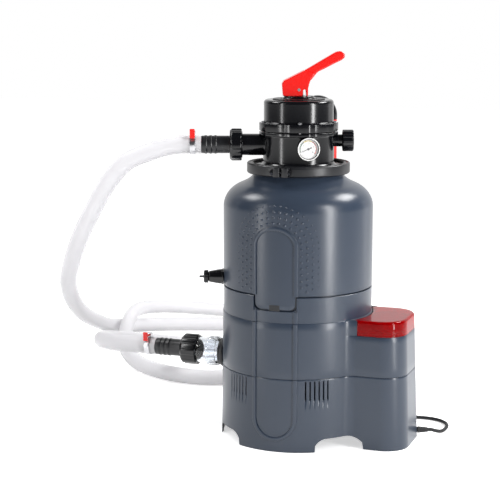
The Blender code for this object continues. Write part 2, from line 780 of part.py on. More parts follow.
# ------------------------------------------------------------------ tank
shoulder = [
    (NECK_RADIUS + (TANK_RADIUS - NECK_RADIUS) * math.sin(a), TANK_SHOULDER_Z + TANK_SHOULDER_RISE * math.cos(a))
    for a in [math.pi / 2 * i / 5 for i in range(6)]
]
neck_inner = NECK_RADIUS - NECK_WALL
spigot = collar_bore - GAP - FACET
neck_top = NECK_FLANGE_Z + NECK_FLANGE_THICK
tank_floor = seat_z + GAP + TANK_WALL
tank_low = SEAM_Z + SEAM_OPEN / 2
tank = turned(
    "tank",
    [
        (0, tank_floor),
        (spigot - 0.014, tank_floor),
        (spigot - TANK_WALL, tank_floor + 0.010),
        (spigot - TANK_WALL, tank_low + 0.002),
        (TANK_RADIUS - TANK_WALL, tank_low + 0.006),
    ]
    + [(r - TANK_WALL, z - 0.001) for r, z in shoulder[:0:-1]]
    + [
        (neck_inner, TANK_SHOULDER_Z + TANK_SHOULDER_RISE - TANK_WALL),
        (neck_inner, neck_top),
        (NECK_FLANGE_RADIUS, neck_top),
        (NECK_FLANGE_RADIUS, NECK_FLANGE_Z),
        (NECK_RADIUS, NECK_FLANGE_Z),
        (NECK_RADIUS, TANK_SHOULDER_Z + TANK_SHOULDER_RISE + 0.004),
    ]
    + [(r, z) for r, z in shoulder[1:]]
    + [
        (TANK_RADIUS, tank_low),
        (spigot, tank_low),
        (spigot, seat_z + 0.010),
        (spigot - 0.010, seat_z + GAP),
        (0, seat_z + GAP),
    ],
    "grey_abs",
    None,
    Matrix.Rotation(math.pi / TANK_STEPS, 4, "Z"),
    TANK_STEPS,
)
tank_skin = turned(
    "tank_skin",
    [
        (TANK_RADIUS - TANK_WALL / 2, tank_low),
        (TANK_RADIUS + PANEL_RAISE, tank_low),
        (TANK_RADIUS + PANEL_RAISE, TANK_SHOULDER_Z),
        (TANK_RADIUS - TANK_WALL / 2, TANK_SHOULDER_Z),
    ],
    None,
    None,
    Matrix.Rotation(math.pi / TANK_STEPS, 4, "Z"),
    TANK_STEPS,
)
combine(tank, panel_rib("tank_rib", tank_skin), "UNION")
tongue_skin = turned(
    "tongue_skin",
    [
        (spigot - TANK_WALL / 2, TONGUE_Z - 0.01),
        (TANK_RADIUS, TONGUE_Z - 0.01),
        (TANK_RADIUS, tank_low + 0.005),
        (spigot - TANK_WALL / 2, tank_low + 0.005),
    ],
    None,
    None,
    Matrix.Rotation(math.pi / TANK_STEPS, 4, "Z"),
    TANK_STEPS,
)
combine(tongue_skin, prism("tongue_shape", tongue_outline(0), 0.05, None, None, front_flat), "INTERSECT")
combine(tank, tongue_skin, "UNION")

LATCH_HALF = 0.0107
LATCH_TOP_Z = 0.2930
LATCH_THICK = 0.0024
LATCH_TRAVEL = 0.0025
latch_low = TONGUE_Z - TONGUE_CLEAR + GAP
latch_front = TANK_RADIUS - 0.0004
combine(
    tank,
    box(
        "latch_pocket",
        (-LATCH_HALF - GAP, -TANK_RADIUS - 0.01, TONGUE_Z - 0.02),
        (LATCH_HALF + GAP, -latch_front + LATCH_THICK + LATCH_TRAVEL + 0.0003, LATCH_TOP_Z + GAP),
        None,
    ),
)
box(
    "tank_latch",
    (-LATCH_HALF, -latch_front, latch_low),
    (LATCH_HALF, -latch_front + LATCH_THICK, LATCH_TOP_Z),
    "matt_black",
)

# ------------------------------------------------------------------ standpipe and laterals
socket_top = WEB_Z - WEB_THICK - 0.003
hub_top = HUB_LOW_Z + HUB_TALL
standpipe = turned(
    "standpipe",
    [
        (0, HUB_LOW_Z + 0.012),
        (STANDPIPE_BORE, HUB_LOW_Z + 0.012),
        (STANDPIPE_BORE, socket_top - GAP),
        (STANDPIPE_RADIUS, socket_top - GAP),
        (STANDPIPE_RADIUS, hub_top),
        (STANDPIPE_RADIUS + 0.004, hub_top),
        (HUB_RADIUS, hub_top - 0.006),
        (HUB_RADIUS, HUB_LOW_Z),
        (0, HUB_LOW_Z),
    ],
    "dial_white",
    steps=20,
)
for number in range(LATERAL_COUNT):
    angle = 2 * math.pi * number / LATERAL_COUNT
    out = (math.cos(angle), math.sin(angle), 0)
    start = (out[0] * 0.024, out[1] * 0.024, HUB_LOW_Z + LATERAL_RADIUS + 0.004)
    combine(
        standpipe,
        cylinder(f"lateral_{number}", LATERAL_RADIUS, LATERAL_REACH - 0.024, None, None, along(start, out), 6),
        "UNION",
    )

# ------------------------------------------------------------------ clamp ring in two halves
valve_flange_low = neck_top + GAP + NECK_GASKET + GAP
valve_flange_top = valve_flange_low + VALVE_FLANGE_THICK
groove_low = NECK_FLANGE_Z - GAP
groove_top = valve_flange_top + GAP
groove_radius = NECK_FLANGE_RADIUS + GAP + FACET
clamp_low = groove_low - CLAMP_LIP
clamp_top = groove_top + CLAMP_LIP
clamp_bore = NECK_RADIUS + 0.003
lug_middle = CLAMP_RADIUS + LUG_DEEP / 2
clamp_middle = (clamp_low + clamp_top) / 2
for side, name in ((-1, "clamp_left"), (1, "clamp_right")):
    half = turned(
        name,
        [
            (clamp_bore, clamp_low),
            (CLAMP_RADIUS - 0.0015, clamp_low),
            (CLAMP_RADIUS, clamp_low + 0.002),
            (CLAMP_RADIUS, clamp_top - 0.002),
            (CLAMP_RADIUS - 0.0015, clamp_top),
            (clamp_bore, clamp_top),
            (clamp_bore, groove_top),
            (groove_radius, groove_top),
            (groove_radius, groove_low),
            (clamp_bore, groove_low),
        ],
        "valve_black",
        steps=TANK_STEPS,
    )
    for front, end in ((-1, "front"), (1, "back")):
        near, far = front * (CLAMP_RADIUS - 0.004), front * (CLAMP_RADIUS + LUG_DEEP)
        low = (min(0, side * LUG_WIDE), min(near, far), clamp_middle - LUG_TALL / 2)
        high = (max(0, side * LUG_WIDE), max(near, far), clamp_middle + LUG_TALL / 2)
        combine(half, box(f"{name}_lug_{end}", low, high, None), "UNION")
    reach = 2 * CLAMP_RADIUS
    away_low, away_high = (-reach, -reach, clamp_low - LUG_TALL), (CLAMP_SPLIT / 2, reach, clamp_top + LUG_TALL)
    away = box(f"{name}_away", away_low, away_high, None)
    if side < 0:
        away.matrix_local = Matrix.Rotation(math.pi, 4, "Z")
    combine(half, away)
    for front in (-1, 1):
        place = along((-0.03, front * (lug_middle + 0.001), clamp_middle), (1, 0, 0))
        combine(half, cylinder(f"{name}_hole_{front}", BOLT_RADIUS + GAP, 0.06, None, None, place, 8))
for front, end in ((-1, "front"), (1, "back")):
    place = along((LUG_WIDE + GAP, front * (lug_middle + 0.001), clamp_middle), (-1, 0, 0))
    turned(
        f"clamp_bolt_{end}",
        [
            (0, -BOLT_HEAD_TALL),
            (BOLT_HEAD, -BOLT_HEAD_TALL),
            (BOLT_HEAD, 0),
            (BOLT_RADIUS, 0),
            (BOLT_RADIUS, 2 * LUG_WIDE + 0.008),
            (0, 2 * LUG_WIDE + 0.008),
        ],
        "steel",
        None,
        place,
        8,
    )
    turned(
        f"clamp_nut_{end}",
        [
            (BOLT_RADIUS + GAP, 2 * LUG_WIDE + 2 * GAP),
            (BOLT_HEAD, 2 * LUG_WIDE + 2 * GAP),
            (BOLT_HEAD, 2 * LUG_WIDE + 2 * GAP + 0.005),
            (BOLT_RADIUS + GAP, 2 * LUG_WIDE + 2 * GAP + 0.005),
        ],
        "steel",
        None,
        place,
        8,
    )

# ------------------------------------------------------------------ valve
turned(
    "neck_gasket",
    [
        (neck_inner + 0.001, neck_top + GAP),
        (NECK_FLANGE_RADIUS - 0.001, neck_top + GAP),
        (NECK_FLANGE_RADIUS - 0.001, neck_top + GAP + NECK_GASKET),
        (neck_inner + 0.001, neck_top + GAP + NECK_GASKET),
    ],
    "rubber",
    steps=20,
)
chamber = VALVE_RADIUS - VALVE_WALL
valve_spigot = neck_inner - 0.002
web_low = WEB_Z - WEB_THICK
rim_low = VALVE_TOP_Z - VALVE_RIM_THICK
valve_body = turned(
    "valve_body",
    [
        (0, WEB_Z),
        (chamber, WEB_Z),
        (chamber, VALVE_TOP_Z),
        (VALVE_RIM_RADIUS, VALVE_TOP_Z),
        (VALVE_RIM_RADIUS, rim_low),
        (VALVE_RADIUS, rim_low),
        (VALVE_RADIUS, valve_flange_top + 0.005),
        (clamp_bore - 0.012, valve_flange_top),
        (NECK_FLANGE_RADIUS, valve_flange_top),
        (NECK_FLANGE_RADIUS, valve_flange_low),
        (valve_spigot, valve_flange_low),
        (valve_spigot, NECK_FLANGE_Z - 0.012),
        (valve_spigot - VALVE_WALL, NECK_FLANGE_Z - 0.012),
        (valve_spigot - VALVE_WALL, valve_flange_low + 0.003),
        (chamber, valve_flange_low + 0.012),
        (chamber, web_low),
        (STANDPIPE_RADIUS + 0.004, web_low),
        (STANDPIPE_RADIUS + 0.004, web_low - 0.030),
        (STANDPIPE_RADIUS + GAP, web_low - 0.030),
        (STANDPIPE_RADIUS + GAP, socket_top),
        (0, socket_top),
    ],
    "valve_black",
    valve_frame,
    Matrix.Rotation(math.pi / 20, 4, "Z"),
    20,
)
LEFT, RIGHT = (-1, 0, 0), (1, 0, 0)
union_start = RETURN_REACH - 0.012
pipe_start = chamber - 0.0005
pump_side = Vector((SWAN_X, RISER_Y, 0)).normalized()
ports = [
    ("return_pipe", LEFT, PORT_Z, RETURN_RADIUS, pipe_start, union_start),
    ("return_boss", LEFT, PORT_Z, UNION_BOSS, union_start - 0.001, RETURN_REACH),
    ("waste_pipe", RIGHT, WASTE_Z, WASTE_RADIUS, pipe_start, WASTE_REACH - 0.012),
    ("waste_boss", RIGHT, WASTE_Z, WASTE_CAP_RADIUS - 0.005, WASTE_REACH - 0.013, WASTE_REACH),
    ("pump_pipe", pump_side, PORT_Z, PUMP_PORT_RADIUS, pipe_start, PUMP_PORT_REACH),
]
for number, (name, out, z, radius, start, end) in enumerate(ports):
    place = along(Vector(out) * start + Vector((0, 0, z)), out, 0.11 * number)
    combine(valve_body, cylinder(name, radius, end - start, None, valve_frame, place, 14), "UNION")
bores = [
    ("return_bore", LEFT, PORT_Z, RETURN_BORE, RETURN_REACH),
    ("waste_bore", RIGHT, WASTE_Z, WASTE_BORE, WASTE_REACH),
    ("pump_bore", pump_side, PORT_Z, PIPE_BORE, PUMP_PORT_REACH),
]
for number, (name, out, z, radius, end) in enumerate(bores):
    place = along(Vector(out) * (chamber - 0.006) + Vector((0, 0, z)), out, 0.05 + 0.11 * number)
    combine(valve_body, cylinder(name, radius, end - chamber + 0.02, None, valve_frame, place, 14))
for number in range(4):
    angle = math.radians(45 + 90 * number)
    place = along((WEB_PORT_CIRCLE * math.cos(angle), WEB_PORT_CIRCLE * math.sin(angle), web_low - 0.01), (0, 0, 1))
    combine(valve_body, cylinder(f"web_port_{number}", WEB_PORT_RADIUS, 0.03, None, valve_frame, place, 10))
gauge_out = Vector((math.sin(GAUGE_ANGLE), -math.cos(GAUGE_ANGLE), 0))
gauge_place = along(gauge_out * VALVE_RADIUS + Vector((0, 0, GAUGE_Z)), gauge_out)
gauge_hole = along(gauge_out * (chamber - 0.01) + Vector((0, 0, GAUGE_Z)), gauge_out)
combine(valve_body, cylinder("gauge_hole", GAUGE_STEM + GAP, 0.03, None, valve_frame, gauge_hole, 16))

turned(
    "lid_gasket",
    [
        (chamber + 0.001, VALVE_TOP_Z + GAP),
        (SCREW_CIRCLE - 0.005, VALVE_TOP_Z + GAP),
        (SCREW_CIRCLE - 0.005, VALVE_TOP_Z + LID_GASKET),
        (chamber + 0.001, VALVE_TOP_Z + LID_GASKET),
    ],
    "rubber",
    valve_frame,
    steps=20,
)
lid_low = VALVE_TOP_Z + LID_GASKET + GAP
lid_rim_top = lid_low + LID_RIM_THICK
boss_top = LID_TOP_Z + LID_BOSS_TALL
lid_inner = LID_RADIUS - LID_WALL
ceiling = LID_TOP_Z - LID_WALL
stem_bore = STEM_RADIUS + GAP
valve_lid = turned(
    "valve_lid",
    [
        (stem_bore, boss_top),
        (LID_BOSS_RADIUS, boss_top),
        (LID_BOSS_RADIUS + 0.001, LID_TOP_Z),
        (LID_RADIUS - 0.004, LID_TOP_Z),
        (LID_RADIUS - 0.0012, LID_TOP_Z - 0.0012),
        (LID_RADIUS, LID_TOP_Z - 0.004),
        (LID_RADIUS, lid_rim_top),
        (VALVE_RIM_RADIUS, lid_rim_top),
        (VALVE_RIM_RADIUS, lid_low),
        (lid_inner, lid_low),
        (lid_inner, ceiling - 0.005),
        (lid_inner - 0.005, ceiling),
        (SPRING_RADIUS - 0.006, ceiling),
        (SPRING_RADIUS - 0.006, ceiling - 0.018),
        (stem_bore, ceiling - 0.018),
    ],
    "valve_black",
    valve_frame,
    steps=20,
)
for number in range(SCREW_COUNT):
    angle = 2 * math.pi * number / SCREW_COUNT - math.pi / 2
    x, y = SCREW_CIRCLE * math.cos(angle), SCREW_CIRCLE * math.sin(angle)
    for owner, base in ((valve_body, rim_low + SCREW_BLIND), (valve_lid, lid_low - 0.001)):
        hole = f"{owner.name}_screw_hole_{number}"
        place = along((x, y, base), (0, 0, 1))
        combine(owner, cylinder(hole, SCREW_RADIUS + GAP, 0.03, None, valve_frame, place, 6))
    turned(
        f"lid_screw_{number + 1}",
        [
            (0, lid_rim_top + GAP + SCREW_HEAD_TALL),
            (SCREW_HEAD * 0.7, lid_rim_top + GAP + SCREW_HEAD_TALL),
            (SCREW_HEAD, lid_rim_top + GAP + SCREW_HEAD_TALL * 0.6),
            (SCREW_HEAD, lid_rim_top + GAP),
            (SCREW_RADIUS, lid_rim_top + GAP),
            (SCREW_RADIUS, rim_low + SCREW_BLIND + 0.001),
            (0, rim_low + SCREW_BLIND + 0.001),
        ],
        "steel",
        valve_frame,
        along((x, y, 0), (0, 0, 1)),
        6,
    )

rotor_low = WEB_Z + GAP
rotor_top = rotor_low + ROTOR_THICK
valve_rotor = turned(
    "valve_rotor",
    [
        (0, rotor_low),
        (ROTOR_RADIUS, rotor_low),
        (ROTOR_RADIUS, rotor_top),
        (SPRING_RADIUS - 0.005, rotor_top),
        (SPRING_RADIUS - 0.005, rotor_top + 0.012),
        (STEM_RADIUS, rotor_top + 0.014),
        (STEM_RADIUS, STEM_TOP_Z),
        (0, STEM_TOP_Z),
    ],
    "matt_black",
    valve_frame,
    Matrix.Rotation(math.pi / 32, 4, "Z"),
    16,
)
angle = math.radians(45)
rotor_port = along((WEB_PORT_CIRCLE * math.cos(angle), WEB_PORT_CIRCLE * math.sin(angle), rotor_low - 0.01), (0, 0, 1))
combine(valve_rotor, cylinder("rotor_port", WEB_PORT_RADIUS, 0.03, None, valve_frame, rotor_port, 16))
ACROSS = (0, 1, 0)
combine(valve_rotor, cylinder("stem_hole", PIN_RADIUS + GAP, 0.04, None, valve_frame, along((0, -0.02, PIN_Z), ACROSS), 12))

spring_low = rotor_top + GAP + SPRING_WIRE
spring_high = ceiling - GAP - SPRING_WIRE
spring_points = []
for i in range(SPRING_TURNS * 9 + 1):
    turn = 2 * math.pi * i / 9
    height = spring_low + (spring_high - spring_low) * i / (SPRING_TURNS * 9)
    spring_points.append(Vector((SPRING_RADIUS * math.cos(turn), SPRING_RADIUS * math.sin(turn), height)))
curve("rotor_spring", spring_points, SPRING_WIRE * 0.9, "steel", 0, parent=valve_frame)

turned(
    "index_plate",
    [
        (PLATE_INNER, LID_TOP_Z + GAP),
        (PLATE_OUTER, LID_TOP_Z + GAP),
        (PLATE_OUTER, LID_TOP_Z + GAP + PLATE_THICK),
        (PLATE_INNER, LID_TOP_Z + GAP + PLATE_THICK),
    ],
    "valve_black",
    valve_frame,
    steps=20,
)
washer_top = boss_top + GAP + WASHER_THICK
turned(
    "handle_washer",
    [
        (stem_bore, boss_top + GAP),
        (WASHER_RADIUS, boss_top + GAP),
        (WASHER_RADIUS, washer_top - 0.001),
        (WASHER_RADIUS - 0.001, washer_top),
        (stem_bore, washer_top),
    ],
    "valve_black",
    valve_frame,
    steps=20,
)

# ------------------------------------------------------------------ lever
lever_low = washer_top + GAP
fork = [
    (-0.032, lever_low),
    (-0.034, lever_low + 0.024),
    (-0.030, lever_low + 0.030),
    (0.010, lever_low + 0.050),
    (0.030, lever_low + 0.045),
    (0.022, lever_low + 0.030),
    (0.018, lever_low + 0.016),
    (0.0175, lever_low + 0.0065),
    (0.013, lever_low),
]
grip = [
    (-0.030, lever_low + 0.0285),
    (0.073, lever_low + 0.0865),
    (0.083, lever_low + 0.0880),
    (0.0905, lever_low + 0.0820),
    (0.0900, lever_low + 0.0750),
    (0.0840, lever_low + 0.0700),
    (0.069, lever_low + 0.0630),
    (0.052, lever_low + 0.0540),
    (0.037, lever_low + 0.0470),
    (0.020, lever_low + 0.0260),
    (-0.020, lever_low + 0.0200),
]
upright = Matrix.Rotation(math.pi / 2, 4, "X")
lever = prism("lever", fork, 2 * LEVER_HALF, "red_gloss", valve_frame, upright)
rounded = lever.modifiers.new("rounded", "BEVEL")
rounded.width = 0.0025
rounded.segments = 2
rounded.limit_method = "ANGLE"
rounded.angle_limit = math.radians(50)
grip_solid = prism("lever_grip", grip, 2 * LEVER_GRIP_HALF, None, valve_frame, upright)
grip_round = grip_solid.modifiers.new("rounded", "BEVEL")
grip_round.width = 0.003
grip_round.segments = 2
grip_round.limit_method = "ANGLE"
grip_round.angle_limit = math.radians(50)
combine(lever, grip_solid, "UNION")
fork_slot = box(
    "fork_slot", (-0.0135, -FORK_HALF, lever_low - 0.01), (0.0300, FORK_HALF, STEM_TOP_Z + 0.0025), None, valve_frame
)
combine(lever, fork_slot)
combine(lever, cylinder("lever_hole", PIN_RADIUS + GAP, 0.06, None, valve_frame, along((0, -0.03, PIN_Z), ACROSS), 12))
pin_half = LEVER_HALF + 0.0006
cylinder("lever_pin", PIN_RADIUS, 2 * pin_half, "steel", valve_frame, along((0, -pin_half, PIN_Z), ACROSS), 12)

# ------------------------------------------------------------------ gauge
gauge_case = turned(
    "gauge_case",
    [
        (0, -0.009),
        (GAUGE_STEM, -0.009),
        (GAUGE_STEM, 0.0015),
        (GAUGE_RADIUS - 0.003, 0.0015),
        (GAUGE_RADIUS, 0.0045),
        (GAUGE_RADIUS, GAUGE_DEPTH - 0.001),
        (GAUGE_RADIUS - 0.001, GAUGE_DEPTH),
        (GAUGE_RADIUS - GAUGE_WALL, GAUGE_DEPTH),
        (GAUGE_RADIUS - GAUGE_WALL, 0.0060),
        (0.0016, 0.0060),
        (0.0016, 0.0045),
        (0, 0.0045),
    ],
    "valve_black",
    valve_frame,
    gauge_place,
    GAUGE_STEPS,
)
dial_radius = GAUGE_RADIUS - GAUGE_WALL - GAP
turned(
    "gauge_dial",
    [(0.0013, 0.0063), (dial_radius, 0.0063), (dial_radius, 0.0073), (0.0013, 0.0073)],
    "dial_white",
    valve_frame,
    gauge_place,
    GAUGE_STEPS,
)
needle_shape = [(-NEEDLE_TAIL, -0.0013), (-0.002, -0.0008), (0.002, -0.0008), (NEEDLE_REACH, -0.0003)]
needle_shape += [(x, -y) for x, y in needle_shape[::-1]]
dial_left_to_right = gauge_place.to_3x3().inverted() @ Vector((math.cos(GAUGE_ANGLE), math.sin(GAUGE_ANGLE), 0))
dial_zero = math.atan2(dial_left_to_right.y, dial_left_to_right.x)
needle_place = gauge_place @ Matrix.Rotation(dial_zero + NEEDLE_REST, 4, "Z")
gauge_needle = prism(
    "gauge_needle", needle_shape, 0.0006, "rubber", valve_frame, needle_place @ Matrix.Translation((0, 0, 0.0083))
)
combine(gauge_needle, cylinder("needle_shaft", 0.0010, 0.0045, None, valve_frame, needle_place @ Matrix.Translation((0, 0, 0.0048)), 8), "UNION")
cylinder("gauge_lens", dial_radius, 0.0015, "clear", valve_frame, gauge_place @ Matrix.Translation((0, 0, 0.0110)), GAUGE_STEPS)
gauge_ledge = turned(
    "gauge_ledge",
    [
        (dial_radius - 0.0012, 0.0095),
        (GAUGE_RADIUS - GAUGE_WALL / 2, 0.0095),
        (GAUGE_RADIUS - GAUGE_WALL / 2, 0.0107),
        (dial_radius - 0.0012, 0.0107),
    ],
    None,
    valve_frame,
    gauge_place,
    GAUGE_STEPS,
)
combine(gauge_case, gauge_ledge, "UNION")


# ------------------------------------------------------------------ unions, tails and hose clamps
def hose_tail(name, parent, place, start, collar, bare, end):
    """A stepped tail along +Z: a collar that the union nut holds, wide barbs left bare, a narrow end in the hose."""
    barbs = []
    for number in range(3):
        low = start + collar + bare * (0.52 + 0.15 * number)
        barbs += [(TAIL_RADIUS, low), (TAIL_RADIUS + BARB, low + 0.002), (TAIL_RADIUS, low + 0.007)]
    outer = start + collar + bare
    return turned(
        name,
        [
            (TAIL_BORE, start),
            (UNION_BOSS, start),
            (UNION_BOSS, start + 0.004),
            (TAIL_RADIUS, start + 0.004),
            *barbs,
            (TAIL_RADIUS, outer),
            (TAIL_STEP, outer),
            (TAIL_STEP, end - 0.001),
            (TAIL_STEP - 0.001, end),
            (TAIL_BORE, end),
        ],
        "valve_black",
        parent,
        place,
        16,
    )


def union_nut(name, parent, place, start, length, radius, bore, lip_bore, material, ribs=8):
    """A ribbed nut along +Z that closes over a boss and holds a collar behind its lip."""
    nut = turned(
        name,
        [
            (bore, start),
            (radius - 0.002, start),
            (radius - 0.0015, start + 0.002),
            (radius - 0.0015, start + length - 0.004),
            (radius - 0.005, start + length),
            (lip_bore, start + length),
            (lip_bore, start + length - 0.006),
            (bore, start + length - 0.006),
        ],
        material,
        parent,
        place,
        16,
    )
    for number in range(ribs):
        turn = place @ Matrix.Rotation(2 * math.pi * number / ribs, 4, "Z")
        low = (radius - 0.004, -0.0022, start + 0.0015)
        high = (radius, 0.0022, start + length - 0.005)
        combine(nut, box(f"{name}_rib_{number}", low, high, None, parent, turn), "UNION")
    return nut


left_port = along((0, 0, PORT_Z), LEFT)
return_collar = 0.0043
tail_bare = 0.0643
return_tail_start = RETURN_REACH + GAP
return_outer = return_tail_start + return_collar + tail_bare
HOSE_LAP = 0.038
hose_tail("return_tail", valve_frame, left_port, return_tail_start, return_collar, tail_bare, return_outer + HOSE_LAP)
union_nut(
    "return_nut",
    valve_frame,
    left_port,
    union_start + GAP,
    UNION_LENGTH,
    UNION_RADIUS,
    UNION_BOSS + GAP + FACET,
    TAIL_RADIUS + GAP + FACET,
    "valve_black",
)
waste_place = along((0, 0, WASTE_Z), RIGHT)
waste_cap = turned(
    "waste_cap",
    [
        (0, WASTE_REACH + GAP),
        (WASTE_CAP_RADIUS - 0.005 + GAP + FACET, WASTE_REACH + GAP),
        (WASTE_CAP_RADIUS - 0.005 + GAP + FACET, WASTE_REACH - 0.013),
        (WASTE_CAP_RADIUS - 0.001, WASTE_REACH - 0.0155),
        (WASTE_CAP_RADIUS, WASTE_REACH - 0.014),
        (WASTE_CAP_RADIUS, WASTE_REACH + WASTE_CAP_LENGTH - 0.0175),
        (WASTE_CAP_RADIUS - 0.002, WASTE_REACH + WASTE_CAP_LENGTH - 0.0155),
        (0, WASTE_REACH + WASTE_CAP_LENGTH - 0.0155),
    ],
    "valve_black",
    valve_frame,
    waste_place,
    16,
)

# suction side, along -X at SUCTION_Z
suction_place = along((0, 0, SUCTION_Z), LEFT)
wall_out = BASE_RADIUS + (LEDGE_Z - SUCTION_Z + SUCTION_FLANGE) * BASE_DRAFT
turned(
    "suction_inlet",
    [
        (SUCTION_BORE, -(POT_X - POT_RADIUS - GAP)),
        (SUCTION_PIPE, -(POT_X - POT_RADIUS - GAP)),
        (SUCTION_PIPE, wall_out + GAP),
        (SUCTION_FLANGE, wall_out + GAP),
        (SUCTION_FLANGE, wall_out + 0.0055),
        (SIGHT_RADIUS + 0.001, wall_out + 0.009),
        (SIGHT_RADIUS + 0.001, SIGHT_START - GAP),
        (SUCTION_BORE, SIGHT_START - GAP),
    ],
    "valve_black",
    None,
    suction_place,
    16,
)
union_at = SIGHT_REACH - SIGHT_UNION
turned(
    "sight_tube",
    [
        (0.0215, SIGHT_START),
        (SIGHT_RADIUS, SIGHT_START),
        (SIGHT_RADIUS, union_at - 0.001),
        (UNION_BOSS, union_at),
        (UNION_BOSS, SIGHT_REACH),
        (0.0215, SIGHT_REACH),
    ],
    "clear",
    None,
    suction_place,
    16,
)
sight_nut_low = SIGHT_START + SIGHT_NUT_IN
turned(
    "sight_nut",
    [
        (SIGHT_RADIUS + GAP + FACET, sight_nut_low),
        (SIGHT_NUT_RADIUS, sight_nut_low),
        (SIGHT_NUT_RADIUS, sight_nut_low + SIGHT_NUT_LENGTH),
        (SIGHT_RADIUS + GAP + FACET, sight_nut_low + SIGHT_NUT_LENGTH),
    ],
    "clear",
    None,
    suction_place,
    16,
)
suction_collar = 0.0043
suction_tail_start = SIGHT_REACH + GAP
suction_bare = 0.068
suction_outer = suction_tail_start + suction_collar + suction_bare
hose_tail("suction_tail", None, suction_place, suction_tail_start, suction_collar, suction_bare, suction_outer + HOSE_LAP)
union_nut(
    "suction_nut",
    None,
    suction_place,
    union_at + GAP,
    SIGHT_REACH - union_at + 0.0115,
    UNION_RADIUS,
    UNION_BOSS + GAP + FACET,
    TAIL_RADIUS + GAP + FACET,
    "valve_black",
)

BAND_THICK = 0.0012
BAND_HALF = 0.0055
WORM_RADIUS = 0.0026


def hose_clamp(name, parent, place):
    """A worm-drive band round the hose at place's zero, with its screw across the top (+Y of place)."""
    bore = HOSE_RADIUS + GAP
    band = turned(
        name + "_band",
        [
            (bore, -BAND_HALF),
            (bore + BAND_THICK, -BAND_HALF),
            (bore + BAND_THICK, BAND_HALF),
            (bore, BAND_HALF),
        ],
        "steel",
        parent,
        place,
        16,
    )
    top = bore + BAND_THICK
    housing = box(name + "_housing", (-0.006, top - 0.0006, -0.0055), (0.006, top + 0.0078, 0.0055), None, parent, place)
    combine(band, housing, "UNION")
    middle = top + 0.0039
    worm = along((-0.0095, middle, 0), (1, 0, 0))
    combine(band, cylinder(name + "_worm_hole", WORM_RADIUS + GAP, 0.03, None, parent, place @ worm, 12))
    screw = cylinder(name + "_screw", WORM_RADIUS, 0.0310, "red_gloss", parent, place @ worm, 12)
    tab = box(name + "_tab", (0.0203, middle - 0.0095, -0.0052), (0.0243, middle + 0.0095, 0.0052), None, parent, place)
    tab_round = tab.modifiers.new("rounded", "BEVEL")
    tab_round.width = 0.0015
    tab_round.segments = 2
    combine(screw, tab, "UNION")


def across(direction, at, z):
    """A place on a level pipe that runs along direction: +Z along the pipe, +Y up."""
    out = Vector(direction)
    up = Vector((0, 0, 1))
    side = up.cross(out)
    turn = Matrix((side, up, out)).transposed().to_4x4()
    return Matrix.Translation(out * at + Vector((0, 0, z))) @ turn


hose_clamp("return_clamp", valve_frame, across(LEFT, return_outer + 0.0175, PORT_Z))
hose_clamp("suction_clamp", None, across(LEFT, suction_outer + 0.0175, SUCTION_Z))

# ------------------------------------------------------------------ riser and swan neck
bend = 0.034
flat_end = Vector((SWAN_X, RISER_Y, 0)).length - bend
elbow_path = [pump_side * (PUMP_PORT_REACH + GAP) + Vector((0, 0, PORT_Z)), pump_side * flat_end + Vector((0, 0, PORT_Z))]
for i in range(1, 6):
    turn = math.pi / 2 * i / 5
    elbow_path.append(
        pump_side * (flat_end + bend * math.sin(turn)) + Vector((0, 0, PORT_Z + bend * (1 - math.cos(turn))))
    )
elbow_path.append(Vector((SWAN_X, RISER_Y, RISER_TOP_Z)))
tube_mesh("valve_elbow", elbow_path, PUMP_PORT_RADIUS, "valve_black", 2, None, 0.004, valve_frame)
swan_middle = (SWAN_X + RISER_X) / 2
swan_path = [Vector((SWAN_X, RISER_Y, RISER_TOP_Z + GAP))]
swan_path += [Vector((x, RISER_Y, z)) for x, z in arc((swan_middle, SWAN_Z), RISER_X - swan_middle, math.pi, 0, 11)]
swan_path += [Vector((RISER_X, RISER_Y, RISER_TOP_Z + GAP))]
tube_mesh("swan_neck", swan_path, PUMP_PORT_RADIUS, "valve_black", 2, None, 0.004, valve_frame)
turned(
    "riser_hose",
    [
        (RISER_RADIUS - RISER_WALL, RISER_LOW_Z),
        (RISER_RADIUS, RISER_LOW_Z),
        (RISER_RADIUS, RISER_TOP_Z),
        (RISER_RADIUS - RISER_WALL, RISER_TOP_Z),
    ],
    "red_gloss",
    valve_frame,
    along((RISER_X, RISER_Y, 0), (0, 0, 1)),
    16,
)
riser_foot = TURN @ Vector((RISER_X, RISER_Y, 0))
outlet_x = (CASING_LEFT + CASING_RIGHT) / 2
level_z = RISER_LOW_Z - 0.034
bend_low = 0.026
run = Vector((riser_foot.x - outlet_x, riser_foot.y - OUTLET_Y, 0))
run_out = run.normalized()
outlet_top = 0.134
delivery_path = [Vector((outlet_x, OUTLET_Y, outlet_top + GAP)), Vector((outlet_x, OUTLET_Y, level_z - bend_low))]
start = Vector((outlet_x, OUTLET_Y, level_z - bend_low))
for i in range(1, 6):
    turn = math.pi / 2 * i / 5
    delivery_path.append(start + run_out * bend_low * (1 - math.cos(turn)) + Vector((0, 0, bend_low * math.sin(turn))))
start = Vector((riser_foot.x, riser_foot.y, level_z)) - run_out * bend_low
for i in range(6):
    turn = math.pi / 2 * i / 5
    delivery_path.append(start + run_out * bend_low * math.sin(turn) + Vector((0, 0, bend_low * (1 - math.cos(turn)))))
delivery_path.append(Vector((riser_foot.x, riser_foot.y, RISER_LOW_Z + 0.035)))
tube_mesh("delivery_pipe", delivery_path, PIPE_BORE, "valve_black", 2, None, 0.003)
combine(base_upper, tube_mesh("delivery_hole", delivery_path[4:13], PIPE_BORE / math.cos(math.pi / 8) + GAP, None, 2))

